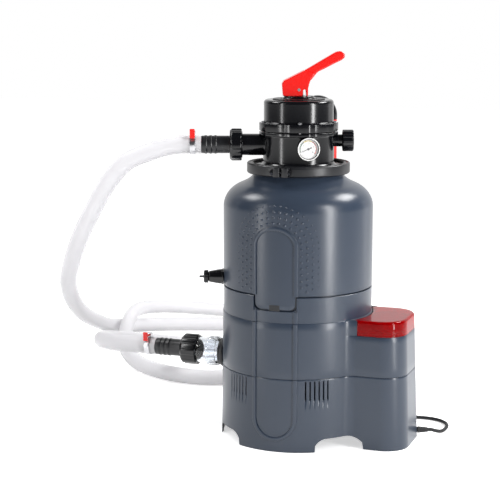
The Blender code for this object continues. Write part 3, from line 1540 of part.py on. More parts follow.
# ------------------------------------------------------------------ drain
drain_place = TURN @ along((0, 0, DRAIN_Z), LEFT)
drain_start = drain_place @ Matrix.Translation((0, 0, TANK_RADIUS - 2 * SKIN_IN))
combine(tank, cylinder("drain_hole", DRAIN_SPIGOT + GAP, SKIN_RUN, None, None, drain_start, 16))
drain_cap_at = TANK_RADIUS + DRAIN_REACH - 0.007
turned(
    "drain_body",
    [
        (0.004, TANK_RADIUS - 0.006),
        (DRAIN_SPIGOT, TANK_RADIUS - 0.006),
        (DRAIN_SPIGOT, TANK_RADIUS + GAP),
        (DRAIN_RADIUS + 0.0015, TANK_RADIUS + GAP),
        (DRAIN_RADIUS + 0.0015, TANK_RADIUS + 0.003),
        (DRAIN_RADIUS, TANK_RADIUS + 0.0035),
        (DRAIN_RADIUS - 0.004, drain_cap_at - 0.002),
        (DRAIN_SPIGOT - 0.001, drain_cap_at),
        (DRAIN_SPIGOT - 0.001, TANK_RADIUS + DRAIN_REACH - 0.001),
        (0.004, TANK_RADIUS + DRAIN_REACH - 0.001),
    ],
    "valve_black",
    None,
    drain_place,
    16,
)
turned(
    "drain_cap",
    [
        (0, TANK_RADIUS + DRAIN_REACH - 0.001 + GAP),
        (DRAIN_SPIGOT - 0.001 + GAP, TANK_RADIUS + DRAIN_REACH - 0.001 + GAP),
        (DRAIN_SPIGOT - 0.001 + GAP, drain_cap_at),
        (DRAIN_RADIUS - 0.002, drain_cap_at),
        (DRAIN_RADIUS - 0.002, TANK_RADIUS + DRAIN_REACH),
        (DRAIN_RADIUS - 0.004, TANK_RADIUS + DRAIN_REACH + 0.002),
        (0.003, TANK_RADIUS + DRAIN_REACH + 0.002),
        (0.002, TANK_RADIUS + DRAIN_REACH + 0.003),
        (0.002, TANK_RADIUS + DRAIN_REACH + 0.011),
        (0, TANK_RADIUS + DRAIN_REACH + 0.011),
    ],
    "matt_black",
    None,
    drain_place,
    16,
)

# ------------------------------------------------------------------ pump and motor, along +X at PUMP_Z
pump_place = along((0, 0, PUMP_Z), RIGHT)
cavity_left = CASING_LEFT + CASING_WALL
cavity_right = CASING_RIGHT - CASING_WALL
pump_casing = turned(
    "pump_casing",
    [
        (SHAFT_RADIUS + 0.001, CASING_LEFT),
        (CASING_RADIUS, CASING_LEFT),
        (CASING_RADIUS, CASING_RIGHT - 0.004),
        (CASING_RADIUS - 0.004, CASING_RIGHT),
        (INLET_RADIUS, CASING_RIGHT),
        (INLET_RADIUS, POT_X - POT_RADIUS - GAP),
        (INLET_RADIUS - 0.004, POT_X - POT_RADIUS - GAP),
        (INLET_RADIUS - 0.004, cavity_right),
        (IMPELLER_RADIUS + 0.003, cavity_right),
        (IMPELLER_RADIUS + 0.003, cavity_left),
        (SHAFT_RADIUS + 0.001, cavity_left),
    ],
    "matt_black",
    None,
    pump_place,
    16,
)
outlet_place = along((outlet_x, OUTLET_Y, PUMP_Z + 0.012), (0, 0, 1))
combine(pump_casing, cylinder("casing_outlet", PIPE_BORE + 0.001, outlet_top - PUMP_Z - 0.012, None, None, outlet_place, 16), "UNION")
combine(pump_casing, cylinder("casing_cavity", IMPELLER_RADIUS + 0.003, cavity_right - cavity_left, None, None, along((cavity_left, 0, PUMP_Z), RIGHT), 16))
combine(pump_casing, cylinder("outlet_bore", PIPE_BORE - 0.0035, 0.05, None, None, outlet_place, 14))
impeller = turned(
    "impeller_shaft",
    [
        (0, MOTOR_LEFT + 0.115),
        (SHAFT_RADIUS, MOTOR_LEFT + 0.115),
        (SHAFT_RADIUS, cavity_left + 0.004),
        (IMPELLER_RADIUS, cavity_left + 0.004),
        (IMPELLER_RADIUS, cavity_left + 0.007),
        (0.012, cavity_left + 0.009),
        (0.006, cavity_right - 0.004),
        (0, cavity_right - 0.004),
    ],
    "matt_black",
    None,
    pump_place,
    16,
)
for number in range(6):
    turn = pump_place @ Matrix.Rotation(2 * math.pi * number / 6, 4, "Z") @ Matrix.Rotation(0.5, 4, "Z")
    blade = box(f"blade_{number}", (0.009, -0.001, cavity_left + 0.006), (0.032, 0.001, cavity_right - 0.009), None, None, turn)
    combine(impeller, blade, "UNION")
motor = turned(
    "motor",
    [
        (0, MOTOR_LEFT),
        (MOTOR_RADIUS - 0.010, MOTOR_LEFT),
        (MOTOR_RADIUS - 0.002, MOTOR_LEFT + 0.008),
        (MOTOR_RADIUS - 0.002, MOTOR_LEFT + 0.030),
        (MOTOR_RADIUS, MOTOR_LEFT + 0.031),
        (MOTOR_RADIUS, CASING_LEFT - 0.006),
        (MOTOR_RADIUS - 0.006, CASING_LEFT - GAP),
        (SHAFT_RADIUS + GAP, CASING_LEFT - GAP),
        (SHAFT_RADIUS + GAP, MOTOR_LEFT + 0.115 - GAP),
        (0, MOTOR_LEFT + 0.115 - GAP),
    ],
    "steel",
    None,
    pump_place,
    16,
)
floor_top = FLOOR_Z + FLOOR_THICK
motor_foot = box("motor_foot", (-0.045, -0.035, floor_top + GAP), (0.040, 0.035, PUMP_Z - 0.025), None)
combine(motor, motor_foot, "UNION")

# ------------------------------------------------------------------ cords
relief = turned(
    "strain_relief",
    [
        (0, -0.0075),
        (0.0075, -0.0075),
        (0.0075, -0.0055),
        (NOTCH_HALF - GAP, -0.0055),
        (NOTCH_HALF - GAP, 0.0015),
        (0.0070, 0.0015),
        (0.0065, 0.0040),
        (0.0046, RELIEF_LENGTH),
        (0, RELIEF_LENGTH),
    ],
    "rubber",
    None,
    relief_place,
    16,
)
lead_exit = TURN.inverted() @ Vector((exit_x, exit_y, RELIEF_Z)) + Vector((RELIEF_LENGTH + GAP, 0, 0))
lead_route = [
    lead_exit + Vector((0.008, 0, 0)),
    Vector((0.2830, -0.0330, 0.0095)),
    Vector((0.2930, -0.0230, 0.0055)),
    Vector((0.3020, -0.0080, 0.0040)),
    Vector((0.3100, 0.0120, 0.0038)),
    Vector((0.3130, 0.0340, 0.0038)),
    Vector((0.3060, 0.0570, 0.0038)),
    Vector((0.2880, 0.0750, 0.0038)),
    Vector((0.2600, 0.0860, 0.0038)),
    Vector((0.2280, 0.0895, 0.0038)),
    Vector((0.2050, 0.0900, 0.0038)),
    Vector((COIL_CENTRE[0] + LEAD_RADIUS * 2 + GAP, COIL_CENTRE[1] - COIL_RADIUS, 0.0038)),
]
curve("lead_run", [lead_exit, *smooth(lead_route, LEAD_STEP)], LEAD_RADIUS, "rubber", 2, parent=valve_frame)

coil_count = round(COIL_TURNS * COIL_LOOP_POINTS)
climb = COIL_LOOP_POINTS // 4
half_count = (coil_count - climb) / 2
coil_points = [Vector((COIL_CENTRE[0] + LEAD_RADIUS * 2, COIL_CENTRE[1] - COIL_RADIUS, 0.0038))]
for i in range(coil_count + 1):
    turn = -math.pi / 2 - 2 * math.pi * i / COIL_LOOP_POINTS
    from_middle = max(abs(i - coil_count / 2) - climb / 2, 0)
    radius = COIL_RADIUS - COIL_PITCH * (half_count - from_middle) / COIL_LOOP_POINTS
    lift = min(max((i - half_count) / climb, 0), 1)
    height = 0.0038 + (2 * LEAD_RADIUS + 0.0006) * lift
    coil_points.append(
        Vector((COIL_CENTRE[0] + radius * math.cos(turn), COIL_CENTRE[1] + radius * math.sin(turn), height))
    )
last = coil_points[-1]
plug_axis_z = PLUG_RADIUS + 0.0003
coil_points += [last + Vector((0, y, z)) for y, z in ((0.012, 0.0003), (0.025, 0.0022), (0.038, 0.0045))]
coil_points += [Vector((last.x, last.y + y, plug_axis_z)) for y in (0.050, 0.060)]
print(f"lead coil: least gap {least_gap(coil_points, LEAD_RADIUS, 8) * 1000:.2f} mm")
curve("lead_coil", coil_points, LEAD_RADIUS, "rubber", 1, parent=valve_frame)
plug = turned(
    "mains_plug",
    [
        (0, 0),
        (0.0055, 0),
        (0.0075, 0.012),
        (PLUG_RADIUS * 0.8, 0.020),
        (PLUG_RADIUS, 0.030),
        (PLUG_RADIUS, 0.020 + PLUG_LENGTH),
        (0, 0.020 + PLUG_LENGTH),
    ],
    "rubber",
    valve_frame,
    along(coil_points[-1] + Vector((0, GAP, 0)), (0, 1, 0)),
    16,
)
for side in (-1, 1):
    place = along(coil_points[-1] + Vector((side * 0.0095, 0.02 + PLUG_LENGTH - 0.002, 0)), (0, 1, 0))
    combine(plug, cylinder(f"plug_prong_{side}", 0.0024, 0.021, None, valve_frame, place, 8), "UNION")

hose_start = return_outer + GAP
suction_out = TURN.inverted() @ Vector((-1, 0, 0))
hose_end = suction_out * (suction_outer + GAP) + Vector((0, 0, SUCTION_Z))
hose_route = [
    Vector((-0.2330, 0.000, PORT_Z)),
    Vector((-0.2620, 0.000, 0.588)),
    Vector((-0.2970, 0.002, 0.577)),
    Vector((-0.3440, 0.008, 0.556)),
    Vector((-0.3840, 0.020, 0.512)),
    Vector((-0.4120, 0.035, 0.463)),
    Vector((-0.4390, 0.055, 0.412)),
    Vector((-0.4600, 0.085, 0.364)),
    Vector((-0.4800, 0.140, 0.307)),
    Vector((-0.4890, 0.190, 0.271)),
    Vector((-0.4980, 0.340, 0.206)),
    Vector((-0.4990, 0.540, 0.133)),
    Vector((-0.4840, 0.740, 0.069)),
    Vector((-0.4610, 0.860, 0.032)),
    Vector((-0.4000, 0.925, 0.0185)),
    Vector((-0.2900, 0.940, 0.0185)),
    Vector((-0.1500, 0.935, 0.0185)),
    Vector((-0.0200, 0.905, 0.0185)),
    Vector((0.0700, 0.830, 0.0185)),
    Vector((0.1000, 0.720, 0.0185)),
    Vector((0.0750, 0.600, 0.0185)),
    Vector((0.0150, 0.500, 0.0185)),
    Vector((-0.0700, 0.415, 0.0185)),
    Vector((-0.1700, 0.365, 0.0185)),
    Vector((-0.2700, 0.395, 0.0185)),
    Vector((-0.3500, 0.480, 0.0185)),
    Vector((-0.3950, 0.600, 0.0185)),
    Vector((-0.4130, 0.720, 0.0200)),
    Vector((-0.4170, 0.830, 0.0400)),
    Vector((-0.4000, 0.930, 0.0580)),
    Vector((-0.3400, 1.015, 0.0500)),
    Vector((-0.2400, 1.070, 0.0340)),
    Vector((-0.1200, 1.090, 0.0200)),
    Vector((0.0000, 1.075, 0.0185)),
    Vector((0.1100, 1.010, 0.0185)),
    Vector((0.1800, 0.900, 0.0185)),
    Vector((0.1980, 0.770, 0.0185)),
    Vector((0.1800, 0.640, 0.0185)),
    Vector((0.1300, 0.530, 0.0220)),
    Vector((0.0400, 0.455, 0.0420)),
    Vector((-0.0700, 0.420, 0.0650)),
    Vector((-0.1800, 0.405, 0.0810)),
    Vector((-0.2800, 0.396, 0.0930)),
    Vector((-0.3700, 0.364, 0.1090)),
    Vector((-0.4200, 0.292, 0.1280)),
    Vector((-0.4180, 0.210, 0.1430)),
    Vector((-0.3800, 0.147, 0.1520)),
    suction_out * (suction_outer + HOSE_LAP + 0.002) + Vector((0, 0, SUCTION_Z)),
]
hose_points = [Vector((-hose_start, 0, PORT_Z)), *smooth(hose_route, HOSE_STEP), hose_end]
print(f"hose: {sum((q - p).length for p, q in zip(hose_points, hose_points[1:])):.2f} m")
print(f"hose: least gap {least_gap(hose_points, HOSE_RADIUS, 6) * 1000:.2f} mm")
tube_mesh("clear_hose", hose_points, HOSE_RADIUS, "clear", 2, None, HOSE_WALL, valve_frame)
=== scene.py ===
# %% [markdown]
# # A sand filter unit for a small pool
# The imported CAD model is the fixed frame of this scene: it says where every piece is and how it moves.
# Here each visible piece gets its finer surface and its finish. Lengths are in metres.

import json
import math

import bmesh
import bpy
import numpy as np
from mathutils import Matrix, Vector


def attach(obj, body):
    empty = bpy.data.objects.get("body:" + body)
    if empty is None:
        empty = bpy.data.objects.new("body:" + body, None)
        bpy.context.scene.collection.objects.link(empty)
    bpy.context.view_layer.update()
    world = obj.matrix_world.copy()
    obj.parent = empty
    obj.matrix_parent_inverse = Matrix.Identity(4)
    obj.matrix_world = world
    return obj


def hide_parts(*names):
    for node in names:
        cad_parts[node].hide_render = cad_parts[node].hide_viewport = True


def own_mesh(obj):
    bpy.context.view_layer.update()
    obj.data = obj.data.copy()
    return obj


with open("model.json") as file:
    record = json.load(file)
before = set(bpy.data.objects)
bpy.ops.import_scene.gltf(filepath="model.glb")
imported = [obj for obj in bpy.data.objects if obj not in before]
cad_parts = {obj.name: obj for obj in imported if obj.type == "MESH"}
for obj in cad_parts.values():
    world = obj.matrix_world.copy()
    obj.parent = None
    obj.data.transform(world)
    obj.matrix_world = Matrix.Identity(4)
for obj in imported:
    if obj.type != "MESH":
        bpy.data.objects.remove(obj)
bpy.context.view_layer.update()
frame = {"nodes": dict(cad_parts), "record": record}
nodes = frame["nodes"]
VALVE_TURN = math.radians(19.5)  # the valve is clamped on turned by this much

# %% [markdown]
# ## The camera
# The picture was taken from a little above the tank's middle, about three metres away, with a long lens.
# A long lens keeps upright edges nearly parallel. The camera stands straight in front of the valve, which
# is turned against the base, so the base is seen from its front right.

# %% Camera
camera_data = bpy.data.cameras.new("camera")
camera_data.lens = 106.56
camera_data.sensor_width = 36.0
camera = bpy.data.objects.new("camera", camera_data)
bpy.context.scene.collection.objects.link(camera)
camera.location = (0.8933, -2.8131, 0.877)
camera.rotation_euler = (math.radians(90 - 9.6), 0, VALVE_TURN)
bpy.context.scene.camera = camera
bpy.context.scene.view_settings.view_transform = "Standard"

# %% [markdown]
# ## Numbers to meshes
# Every new piece is a grid of points that one formula gives at once. A turned piece carries a profile round
# an axis, a tube carries a circle along a path, and a moulded shell carries an outline up a wall.

# %% Grids and frames of axes


def unit(vectors):
    """Each vector divided by its length."""
    vectors = np.asarray(vectors, float)
    return vectors / np.maximum(np.linalg.norm(vectors, axis=-1, keepdims=True), 1e-12)


def turned_by(points, angle=VALVE_TURN):
    """Points turned about the tank's axis: x cos a - y sin a, x sin a + y cos a."""
    c, s = math.cos(angle), math.sin(angle)
    return np.asarray(points, float) @ np.array([[c, s, 0], [-s, c, 0], [0, 0, 1.0]])


def axes_for(direction, up=(0, 0, 1)):
    """Three unit rows: sideways, upwards and along direction."""
    along = unit(direction)
    side = np.cross(up, along)
    if np.linalg.norm(side) < 1e-6:
        side = np.array([1.0, 0, 0])
    side = unit(side)
    return np.stack([side, np.cross(along, side), along])


def quads_of(rows, columns, wrap_rows, wrap_columns):
    """The four corners of each cell of a grid, joined round where it wraps."""
    counts = rows - (not wrap_rows), columns - (not wrap_columns)
    i, j = np.meshgrid(*map(np.arange, counts), indexing="ij")
    k, m = (i + 1) % rows, (j + 1) % columns
    return np.stack([i * columns + j, i * columns + m, k * columns + m, k * columns + j], -1)


def mesh_of(name, grids, sharp=38):
    """One mesh from grids, each (points, wrap_rows, wrap_columns, keep): keep drops cells, such as slots.

    keep = "caps" closes the first and last row with a flat face each.
    """
    points, faces, start = [], [], 0
    for grid, wrap_rows, wrap_columns, keep in grids:
        if isinstance(keep, str):
            rows, columns = grid.shape[:2]
            row = np.arange(columns)
            faces += [[(row + start).tolist(), (row + start + (rows - 1) * columns).tolist()]]
            keep = None
        quads = quads_of(*grid.shape[:2], wrap_rows, wrap_columns)
        quads = quads[keep] if keep is not None else quads.reshape(-1, 4)
        points.append(grid.reshape(-1, 3))
        faces.append((quads + start).tolist())
        start += points[-1].shape[0]
    mesh = bpy.data.meshes.new(name)
    mesh.from_pydata(np.concatenate(points).tolist(), [], [face for group in faces for face in group])
    work = bmesh.new()
    work.from_mesh(mesh)
    bmesh.ops.remove_doubles(work, verts=work.verts, dist=1e-6)
    bmesh.ops.recalc_face_normals(work, faces=work.faces)
    for edge in work.edges:
        edge.smooth = not edge.is_boundary  # so that a wall added later has sharp rims
    outwards = sum((f.calc_center_median() * Vector((1, 1, 0))).dot(f.normal) for f in work.faces)
    if outwards < 0 and any(edge.is_boundary for edge in work.edges):
        bmesh.ops.reverse_faces(work, faces=work.faces)
    work.to_mesh(mesh)
    work.free()
    mesh.shade_smooth()
    mesh.set_sharp_from_angle(angle=math.radians(sharp))
    sides = np.empty(len(mesh.polygons), np.int32)
    mesh.polygons.foreach_get("loop_total", sides)
    mesh.polygons.foreach_set("use_smooth", sides <= 4)  # a cap stays flat
    return mesh


# %% Turned shapes and tubes


def rounded(profile, radius=0.0008, closed=True, count=4):
    """Each corner p with neighbours a and b becomes the curve (1-t)^2 a' + 2t(1-t) p + t^2 b'."""
    p = np.array(profile, float)
    before, after = np.roll(p, 1, 0) - p, np.roll(p, -1, 0) - p
    lengths = np.minimum(np.linalg.norm(before, axis=1), np.linalg.norm(after, axis=1))
    cut = np.minimum(radius, 0.45 * lengths)[:, None]
    if not closed:
        cut[0] = cut[-1] = 0
    a, b = p + unit(before) * cut, p + unit(after) * cut
    t = np.linspace(0, 1, count)[:, None, None]
    arcs = (1 - t) ** 2 * a + 2 * t * (1 - t) * p + t**2 * b
    return arcs.transpose(1, 0, 2).reshape(-1, 2)


def rectangle(left, right, low, high):
    """The four corners of a plain section."""
    return [(left, low), (right, low), (right, high), (left, high)]


def turned(
    profile, origin=(0, 0, 0), axis=(0, 0, 1), radius=0.0008, steps=96, closed=True, lobes=None, span=None
):
    """A profile of (radius, height) carried round an axis: x = r cos a, y = r sin a, z = h.

    lobes = (count, depth, outside, first): beyond that radius it is drawn in by depth between its lobes.
    span = (start, end) carries it round a part of the circle only, with flat ends.
    """
    line = rounded(profile, radius, closed)
    full = span is None
    turn = np.linspace(*(span or (0, 2 * math.pi)), steps, endpoint=not full)
    r = np.repeat(line[:, :1], steps, 1)
    if lobes:
        count, depth, outside, first = lobes
        draw = depth * np.clip(0.5 - 1.3 * np.cos(count * (turn - first)), 0, 1)
        r = np.where(r > outside, np.maximum(r - draw, outside), r)
    grid = np.stack([r * np.cos(turn), r * np.sin(turn), np.repeat(line[:, 1:], steps, 1)], -1)
    grid = np.asarray(origin, float) + grid @ axes_for(axis)
    parts = [(grid, closed, full, None)]
    if not full and closed:
        ends = grid[:, [0, -1]]
        middle = ends.mean(0, keepdims=True).repeat(len(ends), 0)
        parts += [(np.stack([ends[:, k], middle[:, k]], 1), True, False, None) for k in (0, 1)]
    return parts


def smooth_path(points, step):
    """Points about step apart on one smooth curve through the given points (Catmull-Rom)."""
    p = np.asarray(points, float)
    p = np.concatenate([[2 * p[0] - p[1]], p, [2 * p[-1] - p[-2]]])
    a, b, c, d = (p[k : len(p) - 3 + k, None] for k in range(4))
    t = np.linspace(0, 1, 16, endpoint=False)[None, :, None]
    fine = (2 * b + (c - a) * t + (2 * a - 5 * b + 4 * c - d) * t**2 + (3 * b - a - 3 * c + d) * t**3) / 2
    fine = np.concatenate([fine.reshape(-1, 3), p[-2:-1]])
    travelled = np.concatenate([[0], np.cumsum(np.linalg.norm(np.diff(fine, axis=0), axis=1))])
    wanted = np.linspace(0, travelled[-1], max(2, round(travelled[-1] / step)) + 1)
    return np.stack([np.interp(wanted, travelled, fine[:, k]) for k in range(3)], -1)


def tube(path, radii, flat=(0, 0, 1), steps=32, bore=None):
    """A circle carried along a path: centre + r (cos a n + sin a (t x n)), with n square to path and flat."""
    path = np.asarray(path, float)
    along = unit(np.gradient(path, axis=0))
    side = unit(np.cross(np.broadcast_to(flat, along.shape), along))
    other = np.cross(along, side)
    turn = np.linspace(0, 2 * math.pi, steps, endpoint=False)
    ring = np.cos(turn)[None, :, None] * side[:, None] + np.sin(turn)[None, :, None] * other[:, None]
    radii = np.broadcast_to(radii, len(path))[:, None, None]
    outside = path[:, None] + radii * ring
    if bore is None:
        ends = [path[:1, None].repeat(steps, 1), path[-1:, None].repeat(steps, 1)]
        return [(np.concatenate([ends[0], outside, ends[1]]), False, True, None)]
    inside = path[:, None] + bore * ring
    return [(np.concatenate([outside, inside[::-1]]), True, True, None)]


# %% [markdown]
# ## Finishes
# Each finish starts from its real material. Moulded ABS has a faint grain and a low sheen, the valve's
# polypropylene is polished in the mould and mirrors the lamps, the cover is tinted polycarbonate and the
# hose is soft PVC that lets light through but blurs it.

# %% A colour and a node


def linear(colour):
    """An sRGB hex value as the linear colour that the shader takes."""
    parts = [int(colour[k : k + 2], 16) / 255 for k in (1, 3, 5)]
    return (*[c / 12.92 if c <= 0.04045 else ((c + 0.055) / 1.055) ** 2.4 for c in parts], 1.0)


def add_node(tree, kind, settings=None, links=None):
    """Adds a node, sets its properties and input values, and links its inputs to given outputs."""
    made = tree.nodes.new(kind)
    for key, value in (settings or {}).items():
        if hasattr(made, key):
            setattr(made, key, value)
        else:
            made.inputs[key].default_value = value
    for key, output in (links or {}).items():
        tree.links.new(output, made.inputs[key])
    return made


def finish(
    name, colour, roughness, metallic=0.0, darker=0.9, patch=0.02, grain=0.0006, depth=0.00002, **more
):
    """A surface whose colour varies a little in patches and whose grain is a fine bump, both of real size."""
    made = bpy.data.materials.new(name)
    made.use_nodes = True
    tree = made.node_tree
    shader = tree.nodes["Principled BSDF"]
    shader.inputs["Roughness"].default_value = roughness
    shader.inputs["Metallic"].default_value = metallic
    for key, value in more.items():
        shader.inputs[key.replace("_", " ")].default_value = value
    place = add_node(tree, "ShaderNodeTexCoord").outputs["Object"]
    cloud = add_node(tree, "ShaderNodeTexNoise", {"Scale": 1 / patch, "Detail": 3.0}, {"Vector": place})
    low = tuple(c * darker for c in linear(colour)[:3]) + (1.0,)
    mix = add_node(tree, "ShaderNodeMix", {"data_type": "RGBA"}, {"Factor": cloud.outputs["Fac"]})
    mix.inputs[6].default_value = low  # the two colours' sockets
    mix.inputs[7].default_value = linear(colour)
    tree.links.new(mix.outputs[2], shader.inputs["Base Color"])
    fine = add_node(tree, "ShaderNodeTexNoise", {"Scale": 1 / grain, "Detail": 2.0}, {"Vector": place})
    bump = add_node(
        tree, "ShaderNodeBump", {"Strength": 0.5, "Distance": depth}, {"Height": fine.outputs["Fac"]}
    )
    tree.links.new(bump.outputs["Normal"], shader.inputs["Normal"])
    return made


# A fine grain spreads each lamp into a soft band, so the shell reads as moulded and not as painted.
moulded_abs = finish("moulded_grey_abs", "#313b4a", 0.28, darker=0.93, grain=0.0009, depth=0.00004)
# Almost no grain: the valve mirrors the lamps as narrow bright lines on near black.
polished_black = finish("polished_black_polypropylene", "#0b0c10", 0.18, darker=0.7, depth=0.00001)
# The same black but rougher, so the clamp ring and the tails take a broad dull sheen beside the valve.
satin_black = finish("satin_black_polypropylene", "#141519", 0.38, darker=0.8)
# Saturated and smooth: the lever is the brightest colour, with small white glints on its edges.
red_nylon = finish("red_nylon", "#f5160f", 0.22, darker=0.92)
# Softer and rougher than the lever, so the riser's highlight runs wide along it.
red_hose = finish("red_pvc_hose", "#d8261f", 0.35, darker=0.85)
# Tinted through: what lies under the lid shows darkly in it, and its rim gathers the red.
cover_red = finish("tinted_polycarbonate", "#c80006", 0.05, Transmission_Weight=0.7, IOR=1.22, depth=0.0)
# Colourless and smooth: the sight tube shows its port bent by the wall, with hard little glints.
clear_pc = finish(
    "clear_polycarbonate", "#f2f5f9", 0.05, darker=0.97, Transmission_Weight=1.0, IOR=1.45, depth=0.0
)
# Half see-through with a wide sheen: the hose looks milky, and what is behind it shows faintly.
soft_pvc = finish("frosted_pvc_hose", "#fdfcff", 0.38, darker=0.97, patch=0.03, grain=0.003, Alpha=0.52)
# A film so thin that only its highlight tells that the dial has a window.
lens_clear = finish("gauge_window", "#ffffff", 0.04, darker=0.99, depth=0.0, Alpha=0.12)
# Dark metal, so the clamp's bolts glint without turning white.
black_steel = finish("blackened_steel", "#2b2c30", 0.32, metallic=0.9, patch=0.003)
# Bright metal in tiny cloudy patches, as zinc dries: the bands and screws sparkle against the black.
zinc = finish("zinc_plated_steel", "#c9c9cc", 0.28, metallic=1.0, darker=0.85, patch=0.004)
# Hardly any sheen, so the lead and its plug stay dull beside the polished parts.
rubber = finish("black_rubber", "#17181a", 0.62, darker=0.8)
# Off-white and slightly soft, so the gauge's rim doesn't burn out.
white_abs = finish("white_abs", "#eeeeec", 0.4, darker=0.95)
# Grey paint over metal: a soft glow on the motor in the dark of the pump's bay.
motor_paint = finish("painted_aluminium", "#5d6066", 0.4, metallic=0.3)
# Flat as paper, so that the print on it stays sharp.
dial_white = finish("printed_dial", "#f7f7f5", 0.5, darker=0.98)
slot_finish = {
    "grey_abs": moulded_abs,
    "valve_black": polished_black,
    "matt_black": satin_black,
    "red_gloss": red_nylon,
    "red_clear": cover_red,
    "clear": clear_pc,
    "hose_clear": soft_pvc,
    "steel": zinc,
    "rubber": rubber,
    "dial_white": white_abs,
    "motor_shell": motor_paint,
}
node_slot = {row["node"]: row["material_slot"] for row in frame["record"]["subparts"]}
node_body = {name: body for body, names in frame["record"]["behaviour"]["bodies"].items() for name in names}
for name, node in nodes.items():
    node.data.materials.clear()
    node.data.materials.append(slot_finish[node_slot[name]])
nodes["gauge_dial"].data.materials[0] = dial_white
nodes["gauge_needle"].data.materials[0] = satin_black
for name in ("clamp_bolt_front", "clamp_bolt_back", "clamp_nut_front", "clamp_nut_back"):
    nodes[name].data.materials[0] = black_steel
print(len(slot_finish), "finishes")


def show(name, grids, material, replaced, sharp=38, body=None):
    """Makes the piece, gives it its finish, and lets it stand for a CAD node and ride on that node's body."""
    made = bpy.data.objects.new(name, mesh_of(name, grids, sharp))
    bpy.context.scene.collection.objects.link(made)
    made.data.materials.append(material)
    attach(made, body or node_body[replaced])
    if body is None:
        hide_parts(replaced)
    print(name, len(made.data.polygons), "faces")
    return made


def skin(node, grids, material, sharp=38):
    """The finer surface of one CAD node, named after it."""
    return show(node + "_skin", grids, material, node, sharp)


# %% [markdown]
# ## The hose and the mains lead
# The hose is 36 mm outside and soft. It leaves the valve's left port, falls to the floor behind the unit,
# lies there in loops and comes back to the lower port. The lead leaves a notch in the pump housing, turns
# round its corner and is wound up behind it, with its plug beside the coil.

# %% Cords
HOSE_Z = 0.0185  # its middle where it lies on the floor
hose_route = np.array(
    [
        (-0.233, 0.0, 0.592), (-0.262, 0.0, 0.588), (-0.297, 0.002, 0.577), (-0.344, 0.008, 0.556),
        (-0.384, 0.02, 0.512), (-0.412, 0.035, 0.463), (-0.439, 0.055, 0.412), (-0.46, 0.085, 0.364),
        (-0.48, 0.14, 0.307), (-0.489, 0.19, 0.271), (-0.498, 0.34, 0.206), (-0.499, 0.54, 0.133),
        (-0.484, 0.74, 0.069), (-0.461, 0.86, 0.032), (-0.4, 0.925, HOSE_Z), (-0.29, 0.94, HOSE_Z),
        (-0.15, 0.935, HOSE_Z), (-0.02, 0.905, HOSE_Z), (0.07, 0.83, HOSE_Z), (0.1, 0.72, HOSE_Z),
        (0.075, 0.6, HOSE_Z), (0.015, 0.5, HOSE_Z), (-0.07, 0.415, HOSE_Z), (-0.17, 0.365, HOSE_Z),
        (-0.27, 0.395, HOSE_Z), (-0.35, 0.48, HOSE_Z), (-0.395, 0.6, HOSE_Z), (-0.413, 0.72, 0.02),
        (-0.417, 0.83, 0.04), (-0.4, 0.93, 0.058), (-0.34, 1.015, 0.05), (-0.24, 1.07, 0.034),
        (-0.12, 1.09, 0.02), (0.0, 1.075, HOSE_Z), (0.11, 1.01, HOSE_Z), (0.18, 0.9, HOSE_Z),
        (0.198, 0.77, HOSE_Z), (0.18, 0.64, HOSE_Z), (0.13, 0.53, 0.022), (0.04, 0.455, 0.042),
        (-0.07, 0.42, 0.065), (-0.18, 0.405, 0.081), (-0.28, 0.396, 0.093), (-0.37, 0.364, 0.109),
        (-0.42, 0.292, 0.128), (-0.418, 0.21, 0.143), (-0.38, 0.147, 0.152),
    ]
)
GAP = 0.0003  # between pieces that touch
HOSE_RADIUS = 0.018
PORT_Z, SUCTION_Z = 0.592, 0.155
RETURN_OUTER, SUCTION_OUTER, HOSE_LAP = 0.1939, 0.3106, 0.038
end_x = (-SUCTION_OUTER - HOSE_LAP - 0.002, -SUCTION_OUTER - GAP)
hose_end = turned_by([(x, 0, SUCTION_Z) for x in end_x], -VALVE_TURN)
hose_middle = smooth_path(np.concatenate([hose_route, hose_end[:1]]), 0.012)
hose_path = turned_by(np.concatenate([[(-RETURN_OUTER - GAP, 0, PORT_Z)], hose_middle, hose_end[1:]]))
hose = skin("clear_hose", tube(hose_path, HOSE_RADIUS, steps=28, bore=0.0158), soft_pvc)

# %% The mains lead
LEAD_RADIUS, LEAD_Z = 0.0035, 0.0038  # its middle lies a little above the floor
LEDGE_Z, HOUSING_END, HOUSING_HALF, HOUSING_CORNER = 0.258, 0.235, 0.076, 0.048
END_DRAFT, SIDE_DRAFT = 0.033, 0.02
RELIEF_Z, RELIEF_LENGTH = 0.0125, 0.022
COIL_CENTRE, COIL_RADIUS, COIL_PITCH = (0.178, 0.14), 0.05, 0.0082
COIL_TURNS, COIL_LOOP_POINTS = 5.25, 24
corner_x = HOUSING_END + LEDGE_Z * END_DRAFT - HOUSING_CORNER
corner_y = HOUSING_HALF + LEDGE_Z * SIDE_DRAFT - HOUSING_CORNER
out_x, out_y = math.cos(VALVE_TURN), math.sin(VALVE_TURN)
relief_at = (corner_x + HOUSING_CORNER * out_x, corner_y + HOUSING_CORNER * out_y, RELIEF_Z)
lead_exit = turned_by([relief_at], -VALVE_TURN)[0] + np.array([RELIEF_LENGTH + GAP, 0, 0])
lead_route = np.array(
    [
        lead_exit + np.array([0.008, 0, 0]),
        (0.283, -0.033, 0.0095), (0.293, -0.023, 0.0055), (0.302, -0.008, 0.004), (0.31, 0.012, LEAD_Z),
        (0.313, 0.034, LEAD_Z), (0.306, 0.057, LEAD_Z), (0.288, 0.075, LEAD_Z), (0.26, 0.086, LEAD_Z),
        (0.228, 0.0895, LEAD_Z), (0.205, 0.09, LEAD_Z),
        (COIL_CENTRE[0] + 2 * LEAD_RADIUS + GAP, COIL_CENTRE[1] - COIL_RADIUS, LEAD_Z),
    ]
)


